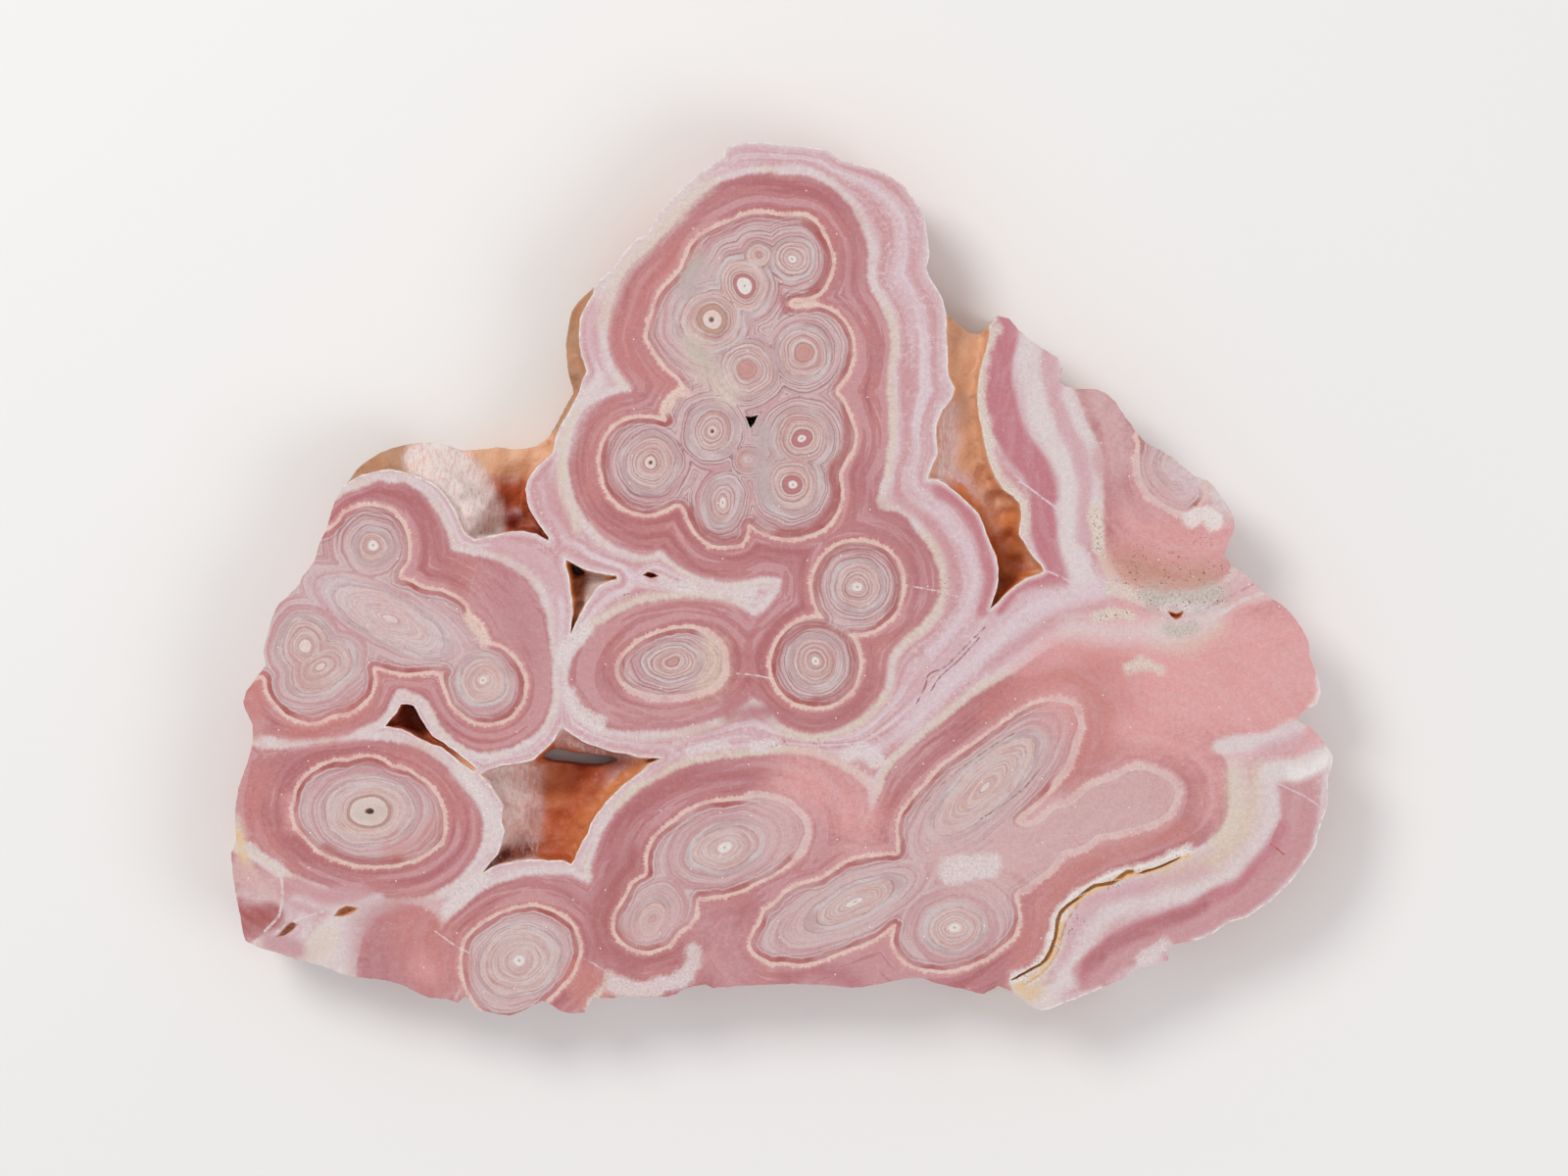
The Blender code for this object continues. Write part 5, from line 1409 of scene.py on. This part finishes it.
def inner_rings(nodes, tone, deep, wide, crinkle, where):
    """Inside the first front: brick ring, mauve lines, clear stone and the rings of the heart."""
    clear = nodes.plus(nodes.field("clear_edge"), wide, 3.0)
    clear = nodes.plus(clear, crinkle, 1.2)
    mauve = nodes.mix(nodes.ease(nodes.banded(clear, where, 0.20, 1 / 120), 0.36, 0.58),
                      tone["mauve"], blend(tone["chalk"], tone["ring_pink"], 0.5))
    plain = nodes.plus(1.0, nodes.field("faint"), -0.7)
    outer_lines = nodes.times(nodes.threads(clear, where, 3.6), plain)
    mauve = nodes.over(mauve, tone["line_mauve"], outer_lines, 0.75)
    haze = nodes.ease(nodes.banded(clear, where, 0.12, 1 / 40, 3), 0.40, 0.62)
    glass = nodes.mix(haze, blend(tone["grey_lilac"], tone["mauve"], 0.35),
                      blend(tone["grey_lilac"], tone["chalk"], 0.55))
    hairs = nodes.times(nodes.threads(clear, where, 3.8), plain)
    glass = nodes.over(glass, blend(tone["mauve"], tone["ring_brown"], 0.5), hairs, 0.45)
    ground = nodes.mix(nodes.ease(clear, -1.0, 1.5), glass, mauve)
    bound = nodes.window(clear, -0.5, 0.4, 0.6)
    bound = nodes.times(bound, nodes.ease(nodes.grain(where, 1 / 20), 0.35, 0.6))
    bound = nodes.times(bound, plain)
    ground = nodes.over(ground, tone["line_mauve"], bound, 0.8)

    brick = nodes.mix(nodes.ease(nodes.grain(where, 1 / 32), 0.35, 0.65), tone["brick"],
                      blend(tone["brick"], tone["plain_pink"], 0.55))
    brink = nodes.plus(deep, crinkle, 1.6)
    brink = nodes.sum("ADD", brink, nodes.plus(-3.0, nodes.grain(where, 1 / 26), 6.0))
    strong = nodes.plus(0.4, nodes.ease(nodes.grain(where, 1 / 60), 0.36, 0.58), 0.6)
    strong = nodes.times(strong, nodes.sum("SUBTRACT", 1.0, nodes.field("toothed")))
    ground = nodes.over(ground, brick, nodes.ease(brink, 6.6, 5.2), strong)
    ground = nodes.over(ground, tone["ring_beige"], nodes.window(brink, 6.2, 7.0, 0.6), 0.6)
    ground = nodes.over(ground, tone["line_mauve"], nodes.window(brink, 8.4, 9.0, 0.7), 0.65)

    length = nodes.add("ShaderNodeVectorMath", {0: nodes.place("heart_offset")},
                       operation="LENGTH").outputs["Value"]
    alone = nodes.field("heart_alone")
    own = nodes.sum("SUBTRACT", length, nodes.field("heart_disc"))
    edge = nodes.field("ring_edge")
    ring = nodes.plus(edge, alone, nodes.sum("SUBTRACT", own, edge))
    ring = nodes.plus(ring, wide, 3.0)
    ring = nodes.plus(ring, crinkle, 2.4)
    broad = nodes.banded(ring, where, 0.19, 1 / 110)
    rings = nodes.ramp(broad, 1.0, [
        (0.32, tone["ring_pink"]), (0.42, tone["ring_beige"]),
        (0.50, blend(tone["ring_beige"], tone["chalk"], 0.6)),
        (0.56, blend(tone["ring_beige"], tone["ring_pink"], 0.6)),
        (0.63, blend(tone["ring_beige"], tone["cream"], 0.6)),
        (0.72, blend(tone["grey_lilac"], tone["chalk"], 0.5)),
    ])
    far = nodes.ease(length, 17.0, 34.0)
    narrow = nodes.times(nodes.threads(ring, where, 3.6), nodes.plus(0.75, far, -0.3))
    narrow = nodes.times(narrow, plain)
    rings = nodes.mix(narrow, rings, tone["ring_brown"])
    milky = nodes.times(far, nodes.ease(nodes.grain(where, 1 / 15, 4, 0.6), 0.36, 0.62))
    rings = nodes.over(rings, blend(tone["grey_lilac"], tone["chalk"], 0.6), milky, 0.6)
    inward = nodes.ease(deep, 6.5, 9.5)
    colour = nodes.over(ground, rings, nodes.ease(ring, 0.6, -0.6), inward)
    hem = nodes.times(nodes.window(ring, -0.4, 0.3, 0.6), inward)
    hem = nodes.times(hem, nodes.ease(nodes.grain(where, 1 / 14), 0.35, 0.55))
    colour = nodes.over(colour, tone["ring_brown"], hem, 0.8)
    return heart_cores(nodes, tone, colour, length, alone, crinkle)


def heart_cores(nodes, tone, colour, length, alone, crinkle):
    """The cores of the hearts, laid over each other from the widest kind to the smallest."""
    fills = {
        "rust": blend(tone["ochre"], tone["ring_beige"], 0.4),
        "halo": blend(tone["brick"], tone["plain_pink"], 0.5),
        "pink": blend(tone["coral"], tone["ring_beige"], 0.45),
        "cream": blend(tone["cream"], tone["chalk"], 0.6),
        "white": blend(tone["white"], tone["grey_lilac"], 0.2),
    }
    for kind in CORES:
        core = nodes.sum("SUBTRACT", nodes.field("core_" + kind), length)
        core = nodes.times(nodes.plus(core, crinkle, 1.6), alone)
        core = nodes.sum("SUBTRACT", core, nodes.plus(9.0, alone, -9.0))
        colour = nodes.mix(nodes.ease(core, -0.6, 0.6), colour, fills[kind])
        if kind == "white":
            middle = nodes.times(nodes.ease(core, 0.0, 1.0), nodes.ease(length, 1.7, 0.8))
            colour = nodes.over(colour, tone["ring_brown"], middle, 0.6)
        else:
            outline = nodes.window(core, -0.3, 0.5, 0.6)
            colour = nodes.over(colour, tone["ring_brown"], outline, 0.75)
        if kind == "pink":
            inner = nodes.window(core, 4.4, 5.0, 0.6)
            colour = nodes.over(colour, tone["dark_rose"], inner, 0.6)
    return colour


def toothed_line(nodes, tone, colour, first, deep, where):
    """The cream line at the first front, with teeth that point outwards."""
    foot = nodes.place("first_foot")
    tooth = nodes.ease(nodes.grain(foot, 0.26, 4, 0.85), 0.36, 0.72)
    ragged = nodes.grain(where, 0.55, 2, 0.6)
    size = nodes.ease(nodes.grain(foot, 1 / 20), 0.3, 0.7)
    reach = nodes.plus(nodes.plus(0.8, ragged, 2.6), tooth, nodes.plus(1.6, size, 2.6))
    long_teeth = nodes.field("toothed")
    reach = nodes.times(reach, nodes.plus(1.0, long_teeth, 0.6))
    outside = nodes.sum("SUBTRACT", first, reach)
    halo = nodes.times(nodes.ease(outside, 5.0, 0.0), nodes.ease(deep, 1.0, -1.0))
    colour = nodes.over(colour, tone["salmon"], halo, 0.25)
    inner_edge = nodes.plus(deep, ragged, 1.6)
    inner_edge = nodes.plus(inner_edge, long_teeth, -2.0)
    line = nodes.times(nodes.ease(outside, 0.7, -0.7), nodes.ease(inner_edge, 2.4, 1.4))
    fade = nodes.plus(0.6, nodes.ease(nodes.grain(where, 1 / 18), 0.3, 0.55), 0.35)
    fade = nodes.plus(fade, long_teeth, -0.18)
    shade = nodes.ease(nodes.grain(where, 0.3, 3), 0.3, 0.7)
    cream = nodes.mix(shade, blend(tone["cream"], tone["pink_beige"], 0.3),
                      blend(tone["cream"], tone["chalk"], 0.25))
    cream = nodes.over(cream, blend(tone["chalk"], tone["pink_beige"], 0.35), long_teeth, 0.5)
    return nodes.over(colour, cream, line, fade), line


def rose_zone(nodes, tone, first, second, where):
    """From the first front to the second: rose with soft paler and darker lines."""
    part = nodes.field("rose_part")
    bands = nodes.banded(part, where, 5.0, 1 / 170, 3)
    absolute = nodes.banded(first, where, 0.11, 1 / 140, 3)
    bands = nodes.plus(nodes.times(bands, 0.5), absolute, 0.55)
    cloud = nodes.grain(where, 1 / 60, 3)
    body = nodes.mix(nodes.ease(cloud, 0.38, 0.66), tone["rose"],
                     blend(tone["rose"], tone["coral"], 0.45))
    colour = nodes.mix(nodes.ease(bands, 0.50, 0.42), body, tone["dark_rose"])
    colour = nodes.over(colour, tone["pale_rose"], nodes.ease(bands, 0.53, 0.61), 0.85)
    colour = nodes.over(colour, tone["lilac"], nodes.window(bands, 0.565, 0.575, 0.010), 0.7)
    fibre = nodes.grain(nodes.place("second_foot"), 0.30, 3, 0.7)
    near = nodes.ease(second, -9.0, -1.0)
    return nodes.over(colour, tone["pale_rose"], nodes.times(near, fibre), 0.55)


def outer_zone(nodes, tone, second, wide, where):
    """From the second front to the rim: a white band, then soft lilac and pink stripes."""
    drift = nodes.plus(-0.15, nodes.grain(where, 1 / 70), 0.30)
    part = nodes.sum("ADD", nodes.plus(nodes.field("outer_part"), wide, 0.06), drift)
    pink = blend(tone["lilac"], tone["plain_pink"], 0.75)
    stripes = nodes.ramp(part, 1.0, [
        (0.0, tone["lilac_white"]), (0.16, tone["lilac_white"]), (0.24, pink), (0.36, pink),
        (0.46, tone["lilac"]), (0.54, tone["lilac_white"]), (0.64, tone["lilac_white"]),
        (0.72, tone["lilac"]), (0.84, pink), (0.93, tone["lilac"]), (1.0, tone["lilac_white"]),
    ])
    veins = nodes.ease(nodes.banded(part, where, 7.0, 1 / 120, 3), 0.40, 0.60)
    veined = nodes.mix(veins, pink, tone["lilac_white"])
    colour = nodes.mix(0.42, stripes, veined)
    width = nodes.plus(3.0, nodes.grain(where, 1 / 45), 10.0)
    beyond = nodes.sum("SUBTRACT", second, width)
    cloud = nodes.ease(nodes.grain(where, 1 / 30, 3), 0.46, 0.66)
    white = nodes.mix(cloud, tone["chalk"], blend(tone["chalk"], tone["ivory"], 0.6))
    white = nodes.mix(nodes.field("creamy"), white, tone["ivory"])
    fibre = nodes.ease(nodes.grain(nodes.place("second_foot"), 0.30, 4, 0.75), 0.42, 0.62)
    white = nodes.over(white, tone["lilac"], fibre, 0.35)
    colour = nodes.mix(nodes.ease(beyond, 5.0, -4.0), colour, white)
    crumb = nodes.ease(nodes.grain(where, 1 / 5, 5, 0.8), 0.46, 0.68)
    crumb = nodes.times(crumb, nodes.ease(nodes.grain(where, 1 / 26), 0.35, 0.62))
    return nodes.over(colour, tone["chalk"], crumb, 0.65)


def surface_grain(nodes, tone, colour, where):
    """Fine mottling, painted glints (white specks standing in for light flashing off the crystals)
    and, in places, brown pits.
    """
    mottle = nodes.grain(where, 1 / 6, 5, 0.65)
    colour = nodes.over(colour, tone["chalk"], nodes.ease(mottle, 0.50, 0.8), 0.20)
    warm = nodes.grain(where, 1 / 38, 3)
    colour = nodes.over(colour, tone["coral"], nodes.ease(warm, 0.5, 0.75), 0.14)
    fine = nodes.grain(where, 1 / 1.8, 3, 0.6)
    coarse = nodes.grain(where, 1 / 5, 4, 0.75)
    shade = nodes.plus(nodes.plus(0.53, coarse, 0.40), fine, 0.42)
    grey = nodes.add("ShaderNodeCombineColor", {"Red": shade, "Green": shade, "Blue": shade})
    colour = nodes.mix(1.0, colour, grey.outputs[0], "MULTIPLY")
    # Painted highlight: sparse white specks stand in for light glinting off the crystals.
    glints = nodes.specks(where, 1 / 30, 0.026, 0.8)
    colour = nodes.over(colour, tone["white"], glints, 0.8)
    holes = nodes.ease(nodes.grain(where, 1 / 3.6, 2, 0.7), 0.41, 0.35)
    holes = nodes.times(holes, nodes.ease(nodes.grain(where, 1 / 16), 0.42, 0.54))
    pits = nodes.times(holes, nodes.field("pitted"))
    return nodes.over(colour, tone["pit"], pits, 0.85)


def plain_material(name):
    """A material, its nodes, and the node that gives its surface."""
    material = bpy.data.materials.new(name)
    material.use_nodes = True
    nodes = Nodes(material.node_tree)
    shader = next(node for node in material.node_tree.nodes if node.type == "BSDF_PRINCIPLED")
    return material, nodes, shader


def polished_material(group):
    material, nodes, shader = plain_material("polished_bands")
    bands = nodes.add("ShaderNodeGroup", node_tree=group)
    nodes.give(shader.inputs["Base Color"], bands.outputs["Colour"])
    nodes.give(shader.inputs["Roughness"], nodes.plus(0.16, bands.outputs["Porous"], 0.12))
    shader.inputs["Specular IOR Level"].default_value = 0.55
    return material


def sawn_material(tone, group):
    material, nodes, shader = plain_material("sawn_bands")
    bands = nodes.add("ShaderNodeGroup", node_tree=group)
    where = nodes.add("ShaderNodeTexCoord").outputs["Object"]
    dust = nodes.ease(nodes.grain(where, 260, 4, 0.6), 0.3, 0.75)
    colour = nodes.mix(nodes.plus(0.12, dust, 0.22), bands.outputs["Colour"], tone["dust"])
    nodes.give(shader.inputs["Base Color"], colour)
    nodes.give(shader.inputs["Roughness"], nodes.plus(0.55, dust, 0.15))
    return material


def skin_material(tone, group):
    """Natural skin, darker and redder the deeper it lies, with banded stone where it is broken."""
    material, nodes, shader = plain_material("natural_skin")
    where = nodes.grid_place()
    deep = nodes.sum("ADD", nodes.field("depth"),
                     nodes.plus(-1.2, nodes.grain(where, 1 / 25, 4, 0.6), 2.4))
    colour = nodes.ramp(deep, 12.0, [
        (0.0, blend(tone["tan"], tone["chalk"], 0.6)), (0.8, tone["tan"]), (3.0, tone["amber"]),
        (7.0, tone["orange"]), (11.5, tone["rust"]),
    ])
    bands = nodes.add("ShaderNodeGroup", node_tree=group)
    ragged = nodes.plus(-7.0, nodes.grain(where, 1 / 14, 4, 0.6), 14.0)
    ragged = nodes.sum("ADD", ragged, nodes.field("break_gap"))
    colour = nodes.mix(nodes.ease(ragged, 9.0, 13.0), colour, bands.outputs["Colour"])
    tint, amount = nodes.paint("skin_tint")
    below = nodes.ease(nodes.field("depth"), 0.0, 0.35)
    colour = nodes.over(colour, tint, amount, below)
    cloud = nodes.ease(nodes.grain(where, 1 / 30, 4, 0.6), 0.4, 0.7)
    colour = nodes.over(colour, tone["amber"], cloud, 0.3)
    fleck = nodes.ease(nodes.grain(where, 1 / 7, 5, 0.75), 0.52, 0.75)
    colour = nodes.over(colour, tone["skin_white"], fleck, 0.22)
    drawn = nodes.add("ShaderNodeVectorMath", {0: where, 1: (0.42, 0.11, 0.11)},
                      operation="MULTIPLY").outputs[0]
    strands = nodes.grain(drawn, 1.0, 4, 0.65)
    fibrous = nodes.field("fibrous")
    strand = nodes.times(nodes.ease(strands, 0.50, 0.60), fibrous)
    colour = nodes.over(colour, tone["skin_white"], strand, 0.9)
    gap = nodes.times(nodes.ease(strands, 0.48, 0.38), fibrous)
    colour = nodes.over(colour, tone["plain_pink"], gap, 0.5)
    speck = nodes.ease(nodes.grain(where, 1 / 2.5, 4, 0.7), 0.46, 0.3)
    colour = nodes.over(colour, tone["rust"], speck, 0.35)
    nodes.give(shader.inputs["Base Color"], colour)
    shader.inputs["Roughness"].default_value = 0.55
    height = nodes.grain(where, 1 / 5, 4, 0.6)
    bump = nodes.add("ShaderNodeBump", {"Height": height, "Strength": 0.6, "Distance": 0.0003})
    nodes.give(shader.inputs["Normal"], bump.outputs[0])
    return material


class SLICE_OT_dress_stone(bpy.types.Operator):
    """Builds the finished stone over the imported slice"""

    bl_idname = "slice.dress_stone"
    bl_label = "Dress stone"

    def execute(self, context):
        noise.seed_set(NOISE_SEED)
        sizes, colours = context.scene.slice_sizes, context.scene.slice_colours
        places, triangles, finish, face_edges = stone_shape(sizes)
        mesh = bpy.data.meshes.new("banded_stone")
        mesh.from_pydata(places.tolist(), [], triangles.tolist())
        mesh.polygons.foreach_set("material_index", finish.astype(np.int32))
        mesh.polygons.foreach_set("use_smooth", finish == 2)
        bake_map(mesh, places, triangles, finish)
        grid_edges = to_grid(places[face_edges].reshape(-1, 3)).reshape(-1, 2, 2)
        store_fields(mesh, growth_fields(places, triangles, grid_edges, sizes.lean, colours))
        tone = {name: tuple(getattr(colours, name)) for name in SliceColours.__annotations__}
        group = bands_group(tone)
        for material in (polished_material(group), sawn_material(tone, group),
                         skin_material(tone, group)):
            mesh.materials.append(material)
        stone = bpy.data.objects.new("banded_stone", mesh)
        context.scene.collection.objects.link(stone)
        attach(stone, "root")
        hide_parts(NODE)
        return {"FINISHED"}


# The stage.

def soft_light(scene, name, at, size, power, tint):
    data = bpy.data.lights.new(name, "AREA")
    data.shape = "DISK"
    data.size = size
    data.energy = power
    data.color = tint
    lamp = bpy.data.objects.new(name, data)
    lamp.location = at
    lamp.rotation_euler = (-Vector(at)).to_track_quat("-Z", "Y").to_euler()
    scene.collection.objects.link(lamp)


class SLICE_OT_set_stage(bpy.types.Operator):
    """Lays the floor and sets the light and the camera"""

    bl_idname = "slice.set_stage"
    bl_label = "Set stage"

    def execute(self, context):
        scene = context.scene
        stage = scene.slice_stage
        half = stage.floor_width / 2
        mesh = bpy.data.meshes.new("floor")
        mesh.from_pydata([(-half, -half, 0), (half, -half, 0), (half, half, 0), (-half, half, 0)],
                         [], [(0, 1, 2, 3)])
        floor = bpy.data.objects.new("floor", mesh)
        floor.location.z = SLICE_BOX[0][2] - FLOOR_DROP
        material, _, shader = plain_material("pale_floor")
        shader.inputs["Base Color"].default_value = (*stage.floor, 1.0)
        shader.inputs["Roughness"].default_value = 0.7
        mesh.materials.append(material)
        scene.collection.objects.link(floor)

        world = bpy.data.worlds.new("pale_room")
        world.use_nodes = True
        back = next(node for node in world.node_tree.nodes if node.type == "BACKGROUND")
        back.inputs["Color"].default_value = (0.95, 0.96, 1.0, 1.0)
        back.inputs["Strength"].default_value = stage.sky
        scene.world = world
        soft_light(scene, "key_light", at=(-0.42, 0.38, 0.62), size=0.35,
                   power=stage.key_power, tint=(1.0, 0.98, 0.95))
        soft_light(scene, "fill_light", at=(0.55, -0.30, 0.55), size=0.5,
                   power=stage.fill_power, tint=(0.96, 0.98, 1.0))
        scene.view_settings.view_transform = "Standard"

        data = bpy.data.cameras.new("camera")
        data.lens = stage.lens
        data.sensor_width = SENSOR_WIDTH
        camera = bpy.data.objects.new("camera", data)
        x, y = to_metres(VIEW_MIDDLE)
        camera.location = (x, y, THICKNESS + VIEW_WIDTH * UNIT * stage.lens / data.sensor_width)
        data.clip_start = CLIP_NEAR
        data.clip_end = CLIP_FAR
        scene.collection.objects.link(camera)
        scene.camera = camera
        return {"FINISHED"}


class SLICE_PT_panel(bpy.types.Panel):
    """Lists the steps that dress the slice"""

    bl_idname = "SLICE_PT_panel"
    bl_label = "Rhodochrosite slice"
    bl_space_type = "VIEW_3D"
    bl_region_type = "UI"
    bl_category = "Slice"

    def draw(self, context):
        for operator in OPERATORS:
            self.layout.operator(operator.bl_idname)
        for group in (context.scene.slice_sizes, context.scene.slice_colours,
                      context.scene.slice_stage):
            box = self.layout.box()
            for name in type(group).__annotations__:
                box.prop(group, name)


OPERATORS = (SLICE_OT_dress_stone, SLICE_OT_set_stage)
CLASSES = (SliceSizes, SliceColours, StageSettings, *OPERATORS, SLICE_PT_panel)


def register():
    for cls in CLASSES:
        bpy.utils.register_class(cls)
    bpy.types.Scene.slice_sizes = PointerProperty(type=SliceSizes)
    bpy.types.Scene.slice_colours = PointerProperty(type=SliceColours)
    bpy.types.Scene.slice_stage = PointerProperty(type=StageSettings)


def unregister():
    del bpy.types.Scene.slice_sizes, bpy.types.Scene.slice_colours, bpy.types.Scene.slice_stage
    for cls in reversed(CLASSES):
        bpy.utils.unregister_class(cls)


def main():
    register()
    bpy.ops.slice.dress_stone()
    bpy.ops.slice.set_stage()


if __name__ == "__main__":
    main()
